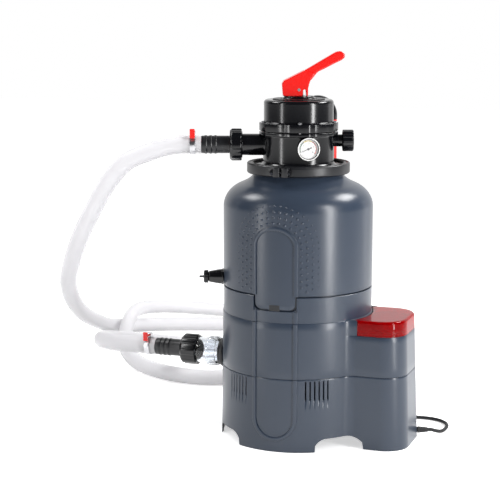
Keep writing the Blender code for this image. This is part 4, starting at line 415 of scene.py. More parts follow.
def coil_line():
    """The coil's middle line: it winds inwards by the pitch a turn, climbs a layer, and winds out again."""
    count = round(COIL_TURNS * COIL_LOOP_POINTS)
    climb = COIL_LOOP_POINTS // 4
    half = (count - climb) / 2
    i = np.linspace(0, count, 3 * count + 1)
    turn = -math.pi / 2 - 2 * math.pi * i / COIL_LOOP_POINTS
    from_middle = np.maximum(np.abs(i - count / 2) - climb / 2, 0)
    radius = COIL_RADIUS - COIL_PITCH * (half - from_middle) / COIL_LOOP_POINTS
    lift = np.clip((i - half) / climb, 0, 1)
    height = LEAD_Z + (2 * LEAD_RADIUS + 0.0006) * lift
    return np.stack(
        [COIL_CENTRE[0] + radius * np.cos(turn), COIL_CENTRE[1] + radius * np.sin(turn), height], -1
    )


coil = coil_line()
plug_z = 0.0173
climb = plug_z - coil[-1, 2]
tail_steps = [(0.012, 0.0003), (0.025, 0.0022), (0.038, 0.0045), (0.05, climb), (0.06, climb)]
lead_tail = smooth_path([coil[-1], *[coil[-1] + np.array([0, y, z]) for y, z in tail_steps]], 0.004)[1:]
lead_line = turned_by(np.concatenate([lead_exit[None], smooth_path(lead_route, 0.006), coil, lead_tail]))
lead = show("lead_skin", tube(lead_line, LEAD_RADIUS, steps=14), rubber, "lead_run")
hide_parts("lead_coil")
plug_grids = turned(
    [(0, 0), (0.0055, 0), (0.0075, 0.012), (0.0136, 0.02), (0.017, 0.03), (0.017, 0.06), (0, 0.06)],
    lead_line[-1] + turned_by((0, GAP, 0)), turned_by((0, 1, 0)), 0.002, 40, closed=False,
)
for side in (-1, 1):
    prong_at = lead_line[-1] + turned_by((side * 0.0095, 0.058, 0))
    plug_grids += turned(
        rectangle(0, 0.0024, 0, 0.021), prong_at, turned_by((0, 1, 0)), 0.0008, 16, closed=False
    )
plug = skin("mains_plug", plug_grids, rubber)

# %% [markdown]
# ## The tank
# The tank is one blow-moulded shell: a straight side, a round shoulder and a short neck. Its lower edge runs
# round level, but at the front a tongue reaches down into the collar. The edge's height is a function of the
# sideways distance, so one grid makes the side and the tongue together.

# %% Tank
TANK_RADIUS, COLLAR_RADIUS, SPIGOT = 0.15, 0.1498, 0.1432
SEAM_LOW, SEAM_HIGH = 0.3085, 0.3115
TONGUE_HALF, TONGUE_LOW = 0.041, 0.284
NOTCH_HALF, NOTCH_LOW, TAB_CORNER = 0.044, 0.281, 0.012
LATCH_HALF, LATCH_LOW, LATCH_HIGH, LATCH_Y = 0.0108, 0.2838, 0.2932, -0.146
SHOULDER_Z, SHOULDER_RISE, NECK_RADIUS = 0.47, 0.051, 0.088
BASE_RADIUS, BASE_DRAFT, BASE_WALL = 0.1515, 0.012, 0.0035
PANEL_HALF, PANEL_RIB, PANEL_RAISE = 0.046, 0.008, 0.0024
PANEL_LOW, PANEL_SPRING, PANEL_HIGH = 0.022, 0.408, 0.447


def skin_radius(z):
    """The outer radius at height z: base, collar, tank side, then r = neck + (side - neck) sqrt(1 - t^2)."""
    t = np.clip((z - SHOULDER_Z) / SHOULDER_RISE, 0, 1)
    tank = NECK_RADIUS + (TANK_RADIUS - NECK_RADIUS) * np.sqrt(1 - t * t)
    lower = np.where(z >= LEDGE_Z, COLLAR_RADIUS, BASE_RADIUS + (LEDGE_Z - z) * BASE_DRAFT)
    return np.where(z >= (SEAM_LOW + SEAM_HIGH) / 2, tank, lower)


def tab_edge(x, half, low, corner, level):
    """The edge's height: level outside half, low in the middle, with a quarter circle at each corner."""
    inward = np.clip(np.abs(x) - (half - corner), 0, corner)
    return np.where(np.abs(x) > half, level, low + corner - np.sqrt(corner**2 - inward**2))


def rings(radii, heights, turn):
    """Rows of a round shell, each with its own radius and height for each turn angle."""
    shape = (len(radii), len(turn))
    r = np.stack([np.broadcast_to(row, shape[1:]) for row in radii])
    z = np.stack([np.broadcast_to(row, shape[1:]) for row in heights])
    return np.stack([r * np.cos(turn), r * np.sin(turn), z], -1)


turn = np.linspace(0, 2 * math.pi, 900, endpoint=False)
front_x = np.where(np.sin(turn) < 0, TANK_RADIUS * np.cos(turn), 1.0)
edge = tab_edge(front_x, TONGUE_HALF, TONGUE_LOW, TAB_CORNER, SEAM_HIGH)
rise = np.linspace(0, math.pi / 2, 22)
side_rows = [edge + (0.33 - edge) * t for t in (0.02, 0.202, 0.4, 0.7, 1.0)]
tank_radii = [SPIGOT - 0.01, SPIGOT, SPIGOT, TANK_RADIUS - 0.0009, TANK_RADIUS - 0.0002] + [TANK_RADIUS] * 5
tank_heights = [0.2625, 0.2725, edge, edge, edge + 0.0005] + side_rows
tank_radii += [TANK_RADIUS] * 4 + [
    NECK_RADIUS + (TANK_RADIUS - NECK_RADIUS) * math.cos(a) for a in rise[:-6]
]
tank_heights += [0.37, 0.41, 0.44, 0.46] + [SHOULDER_Z + SHOULDER_RISE * math.sin(a) for a in rise[:-6]]
t = np.linspace(0, 1, 12)[1:, None]
cove_from = (tank_radii[-1], tank_heights[-1])
cove = (1 - t) ** 2 * cove_from + 2 * t * (1 - t) * (0.089, 0.5264) + t**2 * (0.088, 0.5408)
cove = [*map(tuple, cove.tolist()), (0.0955, 0.541), (0.096, 0.5415)]
cove += [(0.096, 0.546), (0.0955, 0.5465), (0.0822, 0.5465), (0.082, 0.546), (0.082, 0.517)]
tank_radii += [r for r, _ in cove]
tank_heights += [z for _, z in cove]
tank_grid = rings(tank_radii, tank_heights, turn)
cells = (tank_grid[:-1] + tank_grid[1:] + np.roll(tank_grid, -1, 1)[:-1] + np.roll(tank_grid, -1, 1)[1:]) / 4
pocket = (np.abs(cells[..., 0]) < LATCH_HALF) & (cells[..., 1] < LATCH_Y)
pocket &= (cells[..., 2] > LATCH_LOW) & (cells[..., 2] < LATCH_HIGH)
show("tank_shell", [(tank_grid, False, True, ~pocket)], moulded_abs, "tank")


def strip(path, half, raised):
    """A raised bead along a path of (x, z) on the front skin, flat on top with soft shoulders."""
    path = np.asarray(path, float)
    path = np.concatenate([path[:1], path, path[-1:]])
    along = np.gradient(path, axis=0)
    along[0], along[-1] = along[1], along[-2]
    normal = unit(along[:, ::-1] * (1, -1))
    offsets = half * np.array([-1, -1, -0.92, -0.78, 0.78, 0.92, 1, 1])
    heights = raised * np.array([-0.4, 0.45, 0.85, 1, 1, 0.85, 0.45, -0.4])
    xz = path[:, None] + offsets[None, :, None] * normal[:, None]
    heights = np.repeat(heights[None], len(path), 0)
    heights[0] = heights[-1] = -0.4 * raised
    r = skin_radius(xz[..., 1]) + heights
    return np.stack([xz[..., 0], -np.sqrt(r**2 - xz[..., 0] ** 2), xz[..., 1]], -1), False, False, None


def arc(centre, radii, start, end, count):
    """Points on an ellipse: centre + (a cos t, b sin t)."""
    t = np.linspace(start, end, count)
    return np.stack([centre[0] + radii[0] * np.cos(t), centre[1] + radii[1] * np.sin(t)], -1)


rib_x = PANEL_HALF - PANEL_RIB / 2
head = arc((0, PANEL_SPRING), (rib_x, PANEL_HIGH - PANEL_SPRING - PANEL_RIB / 2), math.pi, 0, 60)
foot = arc((0, PANEL_LOW + PANEL_HALF), (rib_x, rib_x), math.pi, 2 * math.pi, 60)


def upright(x, low, high):
    """A straight stretch of the border."""
    return np.stack([np.full(12, x), np.linspace(low, high, 12)], -1)


straight = (SEAM_HIGH, PANEL_SPRING - 0.003)
tank_border = np.concatenate([upright(-rib_x, *straight), head, upright(rib_x, *straight)[::-1]])
show("tank_border", [strip(tank_border, PANEL_RIB / 2, PANEL_RAISE)], moulded_abs, "tank", body="unit")

# %% [markdown]
# Rows of small nubs follow the panel's arch. Each nub is a dome, and the whole field is one array: the
# centres lie on paths at growing distances from the panel, every other row is shifted by half a pitch, and
# the dome's height is h (1 - (p / r)^2) at a distance p from its centre.

# %% Nubs
NUB_PITCH = 0.0123
NUB_ROWS = [(0.0062, 0.003), (0.0172, 0.0032), (0.0285, 0.003), (0.04, 0.0022)]  # distance, radius


def nub_centres():
    """Rows of (along the skin, height, radius)."""
    found = []
    for number, (away, radius) in enumerate(NUB_ROWS):
        half = TANK_RADIUS * math.asin(PANEL_HALF / TANK_RADIUS) + away
        rise = PANEL_HIGH - PANEL_SPRING + away
        sides = np.linspace(0.3185, PANEL_SPRING, 40)
        path = np.concatenate(
            [
                np.stack([np.full(40, -half), sides], -1),
                arc((0, PANEL_SPRING), (half, rise), math.pi, 0, 160)[1:-1],
                np.stack([np.full(40, half), sides[::-1]], -1),
            ]
        )
        travelled = np.concatenate([[0], np.cumsum(np.linalg.norm(np.diff(path, axis=0), axis=1))])
        wanted = np.arange(NUB_PITCH * (0.25 + 0.5 * (number % 2)), travelled[-1], NUB_PITCH)
        u, z = np.interp(wanted, travelled, path[:, 0]), np.interp(wanted, travelled, path[:, 1])
        found.append(np.stack([u, z, np.full(len(u), radius)], -1))
    return np.concatenate(found)


centres = nub_centres()
spread = np.linspace(0, 1, 6)[None, :, None]
angle = np.linspace(0, 2 * math.pi, 16, endpoint=False)[None, None, :]
radius = centres[:, 2][:, None, None]
u = centres[:, 0][:, None, None] + radius * spread * np.cos(angle)
z = centres[:, 1][:, None, None] + radius * spread * np.sin(angle) * np.ones_like(u)
r = skin_radius(z) + 0.0019 * (radius / 0.0032) * (1 - spread**2) - 0.0001
nub_grid = np.stack([r * np.sin(u / TANK_RADIUS), -r * np.cos(u / TANK_RADIUS), z], -1)
nubs = show(
    "tank_nubs", [(grid, False, True, None) for grid in nub_grid], moulded_abs, "tank", sharp=60, body="unit"
)
work = bmesh.new()
work.from_mesh(nubs.data)
level = Vector((1, 1, 0))
inward = [f for f in work.faces if (f.normal * level).dot(f.calc_center_median()) < 0]
bmesh.ops.reverse_faces(work, faces=inward)
work.to_mesh(nubs.data)
work.free()
print(len(centres), "nubs")

# %% [markdown]
# ## The base
# Two shells meet at a parting line. In plan a circle runs into the pump housing through a concave fillet on
# each side, so the outline is a list of arcs worked out from the height, with a little draft. The feet are
# what four low arches leave between them, and the vents are cells left out of the grid.

# %% Base outline
PARTING_Z, DECK_Z = 0.147, 0.2277
HOUSING_FILLET = 0.028
VENTS = [23.7 + 3.4 * k for k in range(6)]  # degrees from the front
VENT_HALF = 0.523  # degrees
ARCH_HALF, ARCH_HEIGHT, ARCH_ANGLE = 0.047, 0.026, math.radians(48.5)


def round_angles():
    """The outline's angles on the round part, in degrees, with one exactly at each side of each vent."""
    edges = np.array([90 + s * (vent + e * VENT_HALF) for vent in VENTS for s in (-1, 1) for e in (-1, 1)])
    even = np.arange(48.5, 180.01, 0.4)
    even = even[np.abs(even[:, None] - edges).min(1) > 0.15]
    return np.radians(np.sort(np.concatenate([even, edges])))


ROUND = round_angles()


def base_outline(z, inset=0.0, stub=False):
    """The outline at height z: housing end, corner, side, fillet and round part, then the same mirrored.

    stub = True cuts it off where the strainer cover begins.
    """
    depth = LEDGE_Z - z
    big = BASE_RADIUS + depth * BASE_DRAFT - inset
    half = HOUSING_HALF + depth * SIDE_DRAFT - inset
    end = HOUSING_END + depth * END_DRAFT - inset
    corner, fillet = HOUSING_CORNER - inset, HOUSING_FILLET + inset
    rise = half + fillet
    reach = math.sqrt((big + fillet) ** 2 - rise**2)
    meet, cut = math.atan2(rise, reach), math.atan2(half, reach)
    if stub:
        ends = arc((0, 0), (big, big), 0, cut, 85)[:-1]
        wall = np.linspace(ends[-1] * 0 + (big * math.cos(cut), big * math.sin(cut)), (reach, half), 25)[:-1]
    else:
        end_line = np.linspace((end, 0), (end, half - corner), 25)[:-1]
        ends = np.concatenate(
            [end_line, arc((end - corner, half - corner), (corner, corner), 0, math.pi / 2, 61)[:-1]]
        )
        wall = np.linspace((end - corner, half), (reach, half), 25)[:-1]
    bend = arc((reach, rise), (fillet, fillet), -math.pi / 2, meet - math.pi, 25)[:-1]
    start = np.linspace(meet, ROUND[0], 31)[:-1]
    around = np.concatenate([start, ROUND])
    upper = np.concatenate([ends, wall, bend, np.stack([big * np.cos(around), big * np.sin(around)], -1)])
    return np.concatenate([upper, upper[-2:0:-1] * (1, -1)])


# 1 over the housing's end, corner and side, then falling to 0 along the fillet
ON_HOUSING = np.concatenate([np.ones(108), np.linspace(1, 0, 24)])


def shell_row(z, inset=0.0, stub=False, lift=0.0, housing_only=False):
    """One row of the shell: an inset for the housing only fades out along the fillet."""
    xy = base_outline(z, inset, stub)
    if housing_only:
        half = np.concatenate([ON_HOUSING, np.zeros(len(xy) // 2 + 1 - len(ON_HOUSING))])
        share = np.concatenate([half, half[-2:0:-1]])[:, None]
        xy = xy * share + base_outline(z, 0.0, stub) * (1 - share)
    return np.concatenate([xy, np.broadcast_to(z + lift, (len(xy),))[:, None]], 1)


# %% Lower shell
foot_xy = base_outline(0)
arch_low = np.zeros(len(foot_xy))
for angle in (-ARCH_ANGLE, ARCH_ANGLE, math.pi - ARCH_ANGLE, math.pi + ARCH_ANGLE):
    sideways = foot_xy @ (math.cos(angle), math.sin(angle))
    outwards = foot_xy @ (math.sin(angle), -math.cos(angle))
    flat = ARCH_HALF - 0.9 * ARCH_HEIGHT
    bow = np.clip((np.abs(sideways) - flat) / ARCH_HEIGHT, 0, 1)
    inside = (np.abs(sideways) < ARCH_HALF) & (outwards > 0.1)
    arch_low = np.where(inside, np.maximum(arch_low, ARCH_HEIGHT * np.sqrt(1 - bow**2)), arch_low)
LOW_ROWS = [(0, 0.0012), (0.0004, 0.0004), (0.0014, 0), (0.006, 0), (0.013, 0), (0.022, 0), (0.034, 0)]
LOW_ROWS += [(0.06, 0), (0.085, 0), (0.105, 0), (0.115, 0), (0.124, 0), (0.133, 0), (0.143, 0)]
LOW_ROWS += [(0.146, 0), (0.14665, 0.0003), (0.14685, 0.001)]
lower = np.stack([shell_row(z, inset, lift=arch_low * max(0, 1 - z / 0.034)) for z, inset in LOW_ROWS])
levels = np.array([z for z, _ in LOW_ROWS])
middle_z = (levels[:-1] + levels[1:]) / 2
following = np.roll(foot_xy, -1, 0)
from_front = np.degrees(np.arctan2((foot_xy + following)[:, 0], -(foot_xy + following)[:, 1]))
slot = (np.abs(np.abs(from_front)[:, None] - np.array(VENTS)) < VENT_HALF).any(1)
keep = ~((middle_z > 0.105)[:, None] & (middle_z < 0.143)[:, None] & slot[None, :])
lower_shell = show("base_lower_shell", [(lower, False, True, keep)], moulded_abs, "base_lower")
wall = lower_shell.modifiers.new("wall", "SOLIDIFY")
wall.thickness, wall.offset = BASE_WALL, -1
FLOOR_Z = 0.03
floor_ring = shell_row(FLOOR_Z, BASE_WALL)
t = np.linspace(1, 0, 8)[:, None, None]
floor_grid = floor_ring * t + np.array([0.05, 0, FLOOR_Z]) * (1 - t)
show("base_floor", [(floor_grid, False, True, None)], moulded_abs, "base_lower", body="unit")
sides = [upright(side * rib_x, PANEL_LOW + PANEL_HALF, 0.1464) for side in (-1, 1)]
low_border = np.concatenate([sides[0][::-1], foot[1:-1], sides[1]])
low_strip = [strip(low_border, PANEL_RIB / 2, PANEL_RAISE)]
show("base_lower_border", low_strip, moulded_abs, "base_lower", body="unit")

# %% [markdown]
# The upper shell carries on from the parting line. Over the housing it is a flat deck that the strainer
# cover closes. Round the tank it stands up as a ledge and a collar, cut down in front for the tongue.

# %% Upper shell
POT_X, POT_HOLE = 0.193, 0.0345
WALL_LEVELS = (
    (0.14715, 0.001), (0.14735, 0.0003), (0.148, 0), (0.165, 0), (0.19, 0), (0.215, 0), (0.2262, 0)
)
walls = [shell_row(z, inset) for z, inset in WALL_LEVELS]
walls += [shell_row(z, inset, housing_only=True) for z, inset in ((0.2272, 0.0004), (DECK_Z, 0.0014))]
stub_low = shell_row(DECK_Z, 0, stub=True)
t = np.linspace(0, 1, 48)[1:, None, None]
deck = walls[-1] * (1 - t) + stub_low * t
STUB_LEVELS = ((0.23, 0), (0.242, 0), (0.2564, 0), (0.2575, 0.0005), (LEDGE_Z, 0.0013))
stub_rows = [shell_row(z, inset, True) for z, inset in STUB_LEVELS]
around = np.arctan2(stub_low[:, 1], stub_low[:, 0])
notch_x = np.where(np.sin(around) < 0, COLLAR_RADIUS * np.cos(around), 1.0)
notch = tab_edge(notch_x, NOTCH_HALF, NOTCH_LOW, TAB_CORNER, SEAM_LOW)
notch_rows = [LEDGE_Z + (notch - 0.0007 - LEDGE_Z) * k for k in (0.15, 0.4, 0.65, 0.85, 1.0)]
collar = rings(
    [COLLAR_RADIUS] * 6 + [COLLAR_RADIUS - 0.0007, 0.1448, 0.1443, 0.1443],
    [LEDGE_Z, *notch_rows, notch, notch, notch - 0.0005, 0.262],
    around,
)
upper = np.concatenate([np.stack(walls), deck, np.stack(stub_rows), collar])
centre = (upper[:-1] + upper[1:]) / 2
over_pot = np.linalg.norm(centre[..., :2] - (POT_X, 0), axis=-1) < POT_HOLE
keep = ~(over_pot & (np.abs(centre[..., 2] - DECK_Z) < 0.0001))
show("base_upper_shell", [(upper, False, True, keep)], moulded_abs, "base_upper")
STRETCHES = [
    (rib_x, PARTING_Z + 0.0006, LEDGE_Z - 0.0012, PANEL_RIB / 2),
    (rib_x, LEDGE_Z + 0.0002, 0.2806, PANEL_RIB / 2),
    (0.0451, 0.2806, SEAM_LOW - 0.0004, 0.0009),
]
borders = [
    strip(upright(side * x, low, high), half, PANEL_RAISE)
    for x, low, high, half in STRETCHES
    for side in (-1, 1)
]
show("base_upper_border", borders, moulded_abs, "base_upper", body="unit")

# %% [markdown]
# ## The strainer cover
# A clear red lid snaps over the pump housing. Its outline is the housing's end with a concave arc along the
# round part, and its top edge is rounded. It is a real shell with a wall, so light bends through it.

# %% Strainer cover
COVER_Z, COVER_WALL, COVER_ROUND = 0.228, 0.003, 0.005


def cover_row(inset, z):
    """One ring of the cover at height z, inset from its outer skin."""
    depth = LEDGE_Z - z
    end, half = HOUSING_END + depth * END_DRAFT, HOUSING_HALF + depth * SIDE_DRAFT
    big = BASE_RADIUS + depth * BASE_DRAFT
    reach = math.sqrt((big + HOUSING_FILLET) ** 2 - (half + HOUSING_FILLET) ** 2)
    near = big + 2 * GAP + inset
    cut = math.atan2(half, reach) - (2 * GAP + inset) / near
    corner = HOUSING_CORNER - inset
    x, y = end - HOUSING_CORNER, half - HOUSING_CORNER  # the middle of the corner's arc
    meet = ((half - inset) / math.tan(cut), half - inset)
    end_line = np.linspace((end - inset, 0), (end - inset, y), 13)[:-1]
    round_corner = arc((x, y), (corner, corner), 0, math.pi / 2, 31)[:-1]
    side = np.linspace((x, half - inset), meet, 13)[:-1]
    back = np.linspace(meet, (near * math.cos(cut), near * math.sin(cut)), 9)[:-1]
    near_arc = arc((0, 0), (near, near), cut, 0, 25)
    upper_half = np.concatenate([end_line, round_corner, side, back, near_arc])
    xy = np.concatenate([upper_half, upper_half[-2:0:-1] * (1, -1)])
    return np.concatenate([xy, np.full((len(xy), 1), z)], 1)


def cover_edge(inset, radius):
    """Rings round a top edge: they come in by r (1 - cos a) and stay r (1 - sin a) below the top."""
    turns = np.linspace(0, math.pi / 2, 8)
    insets, drops = inset + radius * (1 - np.cos(turns)), inset + radius * (1 - np.sin(turns))
    return [cover_row(inwards, LEDGE_Z - drop) for inwards, drop in zip(insets, drops)]


outer = [cover_row(0, COVER_Z), cover_row(0, 0.24), *cover_edge(0, COVER_ROUND)]
inner = [cover_row(COVER_WALL, COVER_Z), cover_row(COVER_WALL, 0.24), *cover_edge(COVER_WALL, 0.002)]
cover_middle = np.array([0.19, 0, 0])
t = np.linspace(1, 0, 14)[1:, None, None]
outer_top = outer[-1] * t + (cover_middle + (0, 0, LEDGE_Z)) * (1 - t)
inner_top = inner[-1] * t + (cover_middle + (0, 0, LEDGE_Z - COVER_WALL)) * (1 - t)
cover_grid = np.concatenate([inner_top[::-1], np.stack(inner[::-1]), np.stack(outer), outer_top])
seal = rectangle(0.031, 0.0359, 0.2341, 0.2552)
show(
    "strainer_cover_shell",
    [(cover_grid, False, True, None), *turned(seal, (POT_X, 0, 0), radius=0.0006)],
    cover_red,
    "strainer_cover",
)
pot = [
    (0, 0.069), (0.0295, 0.069), (0.0295, 0.2315), (0.0365, 0.2315), (0.0365, 0.228), (0.0325, 0.228),
    (0.0325, 0.07), (0.0285, 0.066), (0, 0.066),
]
show("strainer_pot_shell", turned(pot, (POT_X, 0, 0), closed=False), satin_black, "strainer_pot")

# %% [markdown]
# ## The valve
# The multiport valve's body and lid are turned shapes in glossy black, with pipes that leave them sideways.
# Its rims are drawn in between five lobes that carry the screws. Everything in the valve is worked out in
# the valve's own frame and then turned with it.

# %% Slabs


def slab(
    outline, low, high, edge=0.001, axes=((1, 0, 0), (0, 1, 0), (0, 0, 1)), origin=(0, 0, 0), corner=0.0
):
    """An outline of (u, v) carried from low to high along w, with rounded edges: inset e (1 - sin t).

    Each corner moves inwards by e (n1 + n2) / (1 + n1 . n2), where n1 and n2 are its two sides' normals.
    """
    points = rounded(outline, corner, count=6) if corner else np.array(outline, float)
    sides = unit(np.roll(points, -1, 0) - points)
    normals = np.stack([sides[:, 1], -sides[:, 0]], -1)
    if np.sum(points[:, 0] * np.roll(points[:, 1], -1) - points[:, 1] * np.roll(points[:, 0], -1)) < 0:
        normals = -normals
    before = np.roll(normals, 1, 0)
    move = (before + normals) / np.maximum(1 + (before * normals).sum(1, keepdims=True), 0.4)
    t = np.linspace(0, math.pi / 2, 5)
    insets = edge * (1 - np.concatenate([np.sin(t), np.sin(t[::-1])]))
    heights = np.concatenate([low + edge * (1 - np.cos(t)), high - edge * (1 - np.cos(t[::-1]))])
    uv = points[None] - insets[:, None, None] * move[None]
    uvw = np.concatenate([uv, np.broadcast_to(heights[:, None, None], uv.shape[:2] + (1,))], -1)
    return [(np.asarray(origin, float) + uvw @ np.asarray(axes, float), False, True, "caps")]


def in_valve(grids):
    """Grids worked out in the valve's frame, turned into place."""
    return [(turned_by(points), rows, columns, keep) for points, rows, columns, keep in grids]


def rod(start, end, radius, out, z, bore=None, steps=64, edge=0.0006):
    """A pipe from start to end along a level direction out, at height z."""
    return turned(rectangle(bore or 0, radius, start, end), (0, 0, z), out, edge, steps, closed=bool(bore))


# %% Valve body and lid
LEFT, RIGHT = np.array([-1.0, 0, 0]), np.array([1.0, 0, 0])
VALVE_TOP_Z, LID_TOP_Z, WEB_Z = 0.619, 0.682, 0.588
WASTE_Z, PIPE_START = 0.6, 0.0655
PIPE_RADIUS, PIPE_BORE = 0.018, 0.014
SCREW_LOBES = (5, 0.003, 0.0735, -math.pi / 2)
SWAN_X, RISER_X, RISER_Y = 0.022, 0.068, 0.158
pump_side = unit((SWAN_X, RISER_Y, 0))
body_profile = [
    (0, WEB_Z), (0.066, WEB_Z), (0.066, VALVE_TOP_Z), (0.079, VALVE_TOP_Z), (0.079, 0.6125),
    (0.0722, 0.6125), (0.071, 0.6105), (0.071, 0.559), (0.0725, 0.5562), (0.076, 0.554),
    (0.079, 0.5533), (0.096, 0.5533), (0.096, 0.5493), (0.08, 0.5493), (0.08, 0.529), (0, 0.529),
]
body_grids = turned(body_profile, radius=0.0014, steps=240, closed=False, lobes=SCREW_LOBES)
body_grids += rod(PIPE_START, 0.113, 0.0215, LEFT, PORT_Z)
body_grids += rod(0.112, 0.125, 0.0265, LEFT, PORT_Z, 0.016)
body_grids += rod(PIPE_START, 0.091, 0.0122, RIGHT, WASTE_Z)
body_grids += rod(0.09, 0.103, 0.0165, RIGHT, WASTE_Z, 0.008)
body_grids += rod(PIPE_START, 0.1, 0.018, pump_side, PORT_Z, 0.0137)
for out, z, radius in ((LEFT, PORT_Z, 0.0215), (RIGHT, WASTE_Z, 0.0122)):
    flare = [
        (radius + 0.0045 * (1 - math.sin(a)), 0.0645 + 0.0065 * (1 - math.cos(a)))
        for a in np.linspace(0, math.pi / 2, 8)
    ]
    body_grids += turned(flare, (0, 0, z), out, 0, 64, closed=False)
skin("valve_body", in_valve(body_grids), polished_black)
shoulder = [
    (0.0695 - 0.0065 * (1 - math.cos(a)), LID_TOP_Z - 0.0065 * (1 - math.sin(a)))
    for a in np.linspace(0, math.pi / 2, 10)
]
lid_profile = [(0.0093, 0.659), (0.0093, 0.686), (0.033, 0.686), (0.034, LID_TOP_Z), *shoulder[::-1]]
lid_profile += [
    (0.0695, 0.64), (0.0705, 0.638), (0.0725, 0.6372), (0.079, 0.6372), (0.079, 0.6209), (0.0645, 0.6209),
    (0.0645, 0.659)
]
lid_grids = turned(lid_profile, radius=0.0013, steps=240, lobes=SCREW_LOBES)
skin("valve_lid", in_valve(lid_grids), polished_black)
plate = turned(rectangle(0.036, 0.052, 0.6823, 0.6838), radius=0.0004, steps=128)
skin("index_plate", in_valve(plate), satin_black)
washer_profile = [(0.0093, 0.6863), (0.03, 0.6863), (0.03, 0.688), (0.029, 0.689), (0.0093, 0.689)]
skin("handle_washer", in_valve(turned(washer_profile, radius=0.0006, steps=96)), polished_black)

# %% [markdown]
# The spring under the lid is wound wire: a circle carried along a helix, x = r cos a, y = r sin a, z rising
# evenly. Pressing the lever lifts the rotor and shortens the spring, so it is squashed towards the lid.

# %% Spring
SPRING_LOW, SPRING_HIGH, STEM_TRAVEL = 0.5996, 0.6747, 0.0039
a = np.linspace(0, 2 * math.pi * 6, 6 * 32 + 1)
helix = np.stack(
    [0.021 * np.cos(a), 0.021 * np.sin(a), SPRING_LOW + (SPRING_HIGH - SPRING_LOW) * a / a[-1]], -1
)
spring = skin("rotor_spring", in_valve(tube(helix, 0.0018, steps=12)), zinc)
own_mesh(spring)

# %% [markdown]
# The lever is a fork on the valve's stem, drawn up into a grip. It is made of slabs whose outlines are the
# lever's side view: two cheeks, the block behind the stem, the bridge over it and the grip itself.

# %% Lever
LEVER_LOW = 0.6893
SIDE_VIEW = ((1, 0, 0), (0, 0, 1), (0, 1, 0))
fork = [
    (-0.032, 0), (-0.034, 0.024), (-0.03, 0.03), (0.01, 0.05), (0.03, 0.045), (0.022, 0.03),
    (0.018, 0.016), (0.0178, 0.0006), (0.0145, 0), (0.0135, 0.011), (0.0105, 0.0135), (0.0078, 0.011),
    (0.007, 0),
]
grip = [
    (0, 0.0436), (0.073, 0.0865), (0.083, 0.088), (0.0905, 0.082), (0.09, 0.075), (0.084, 0.07),
    (0.069, 0.063), (0.052, 0.054), (0.037, 0.047), (0.0235, 0.03), (0.008, 0.03),
]
back = [(-0.032, 0), (-0.034, 0.024), (-0.03, 0.03), (-0.0135, 0.0382), (-0.0135, 0)]
bridge = [(-0.0325, 0.0258), (-0.03, 0.03), (0.01, 0.05), (0.03, 0.045), (0.0199, 0.0258)]


def side_slab(outline, low, high, edge, corner):
    """A slab whose outline is (x, height above the lever's foot)."""
    return slab([(x, LEVER_LOW + z) for x, z in outline], low, high, edge, SIDE_VIEW, corner=corner)


lever_grids = side_slab(fork, 0.0098, 0.018, 0.0011, 0.003)
lever_grids += side_slab(fork, -0.018, -0.0098, 0.0011, 0.003)
for outline in (back, bridge):
    lever_grids += side_slab(outline, -0.0115, 0.0115, 0.0003, 0.0008)
lever_grids += side_slab(grip, -0.011, 0.011, 0.003, 0.004)
skin("lever", in_valve(lever_grids), red_nylon, sharp=50)

# %% Clamp ring
CLAMP_RADIUS, LUG_MIDDLE_Z = 0.103, 0.54715
clamp_section = [
    (0.091, 0.5367), (0.1015, 0.5367), (CLAMP_RADIUS, 0.5387), (CLAMP_RADIUS, 0.5556), (0.1015, 0.5576),
    (0.0985, 0.5576), (0.0978, 0.556), (0.093, 0.556), (0.0915, 0.5576), (0.091, 0.5576),
    (0.091, 0.5536), (0.0971, 0.5536), (0.0971, 0.5407), (0.091, 0.5407),
]
for side, name in ((-1, "clamp_left"), (1, "clamp_right")):
    first = -math.pi / 2 if side > 0 else math.pi / 2
    grids = turned(clamp_section, radius=0.0006, steps=160, span=(first + 0.02, first + math.pi - 0.02))
    for front in (-1, 1):
        ends = sorted((front * 0.1, front * 0.117))
        lug = rectangle(side * 0.0022, side * 0.015, *ends)
        grids += slab(lug, LUG_MIDDLE_Z - 0.009, LUG_MIDDLE_Z + 0.009, 0.0012, corner=0.0025)
    if side > 0:
        strip_section = [
            (0.1025, 0.5385), (0.104, 0.539), (0.1044, 0.54), (0.1044, 0.553), (0.104, 0.554),
            (0.1025, 0.5545)
        ]
        grids += turned(strip_section, radius=0.0005, steps=50, span=(math.radians(-81), math.radians(-40)))
    skin(name, grids, satin_black)

# %% [markdown]
# ## Ports, unions and hose clamps
# Both ports end in a ribbed union nut and a stepped tail. The wide barbs stay bare, since the hose only
# reaches over the narrow end. A band with a worm screw grips each hose end.

# %% Ports


def tail_profile(start, bare):
    """The tail's collar, its bare barbs and its narrow end: each barb rises sharply and slopes away."""
    points = [(0.0115, start), (0.0265, start), (0.0265, start + 0.004), (0.0176, start + 0.0045)]
    outer = start + 0.0043 + bare
    for number in range(3):
        low = start + 0.0043 + bare * (0.52 + 0.15 * number)
        points += [(0.0176, low), (0.0188, low + 0.002), (0.0176, low + 0.007)]
    return [
        *points, (0.0176, outer), (0.0142, outer), (0.0142, outer + 0.037), (0.0132, outer + 0.038),
        (0.0115, outer + 0.038)
    ]


def nut_profile(start, length, bore, lip):
    """A union nut: its grip, a chamfer and the lip behind the tail's collar."""
    end = start + length
    return [
        (bore, start), (0.0305, start), (0.032, start + 0.002), (0.032, end - 0.0045),
        (0.0285, end - 0.0005), (0.027, end), (lip, end), (lip, end - 0.006), (bore, end - 0.006),
    ]


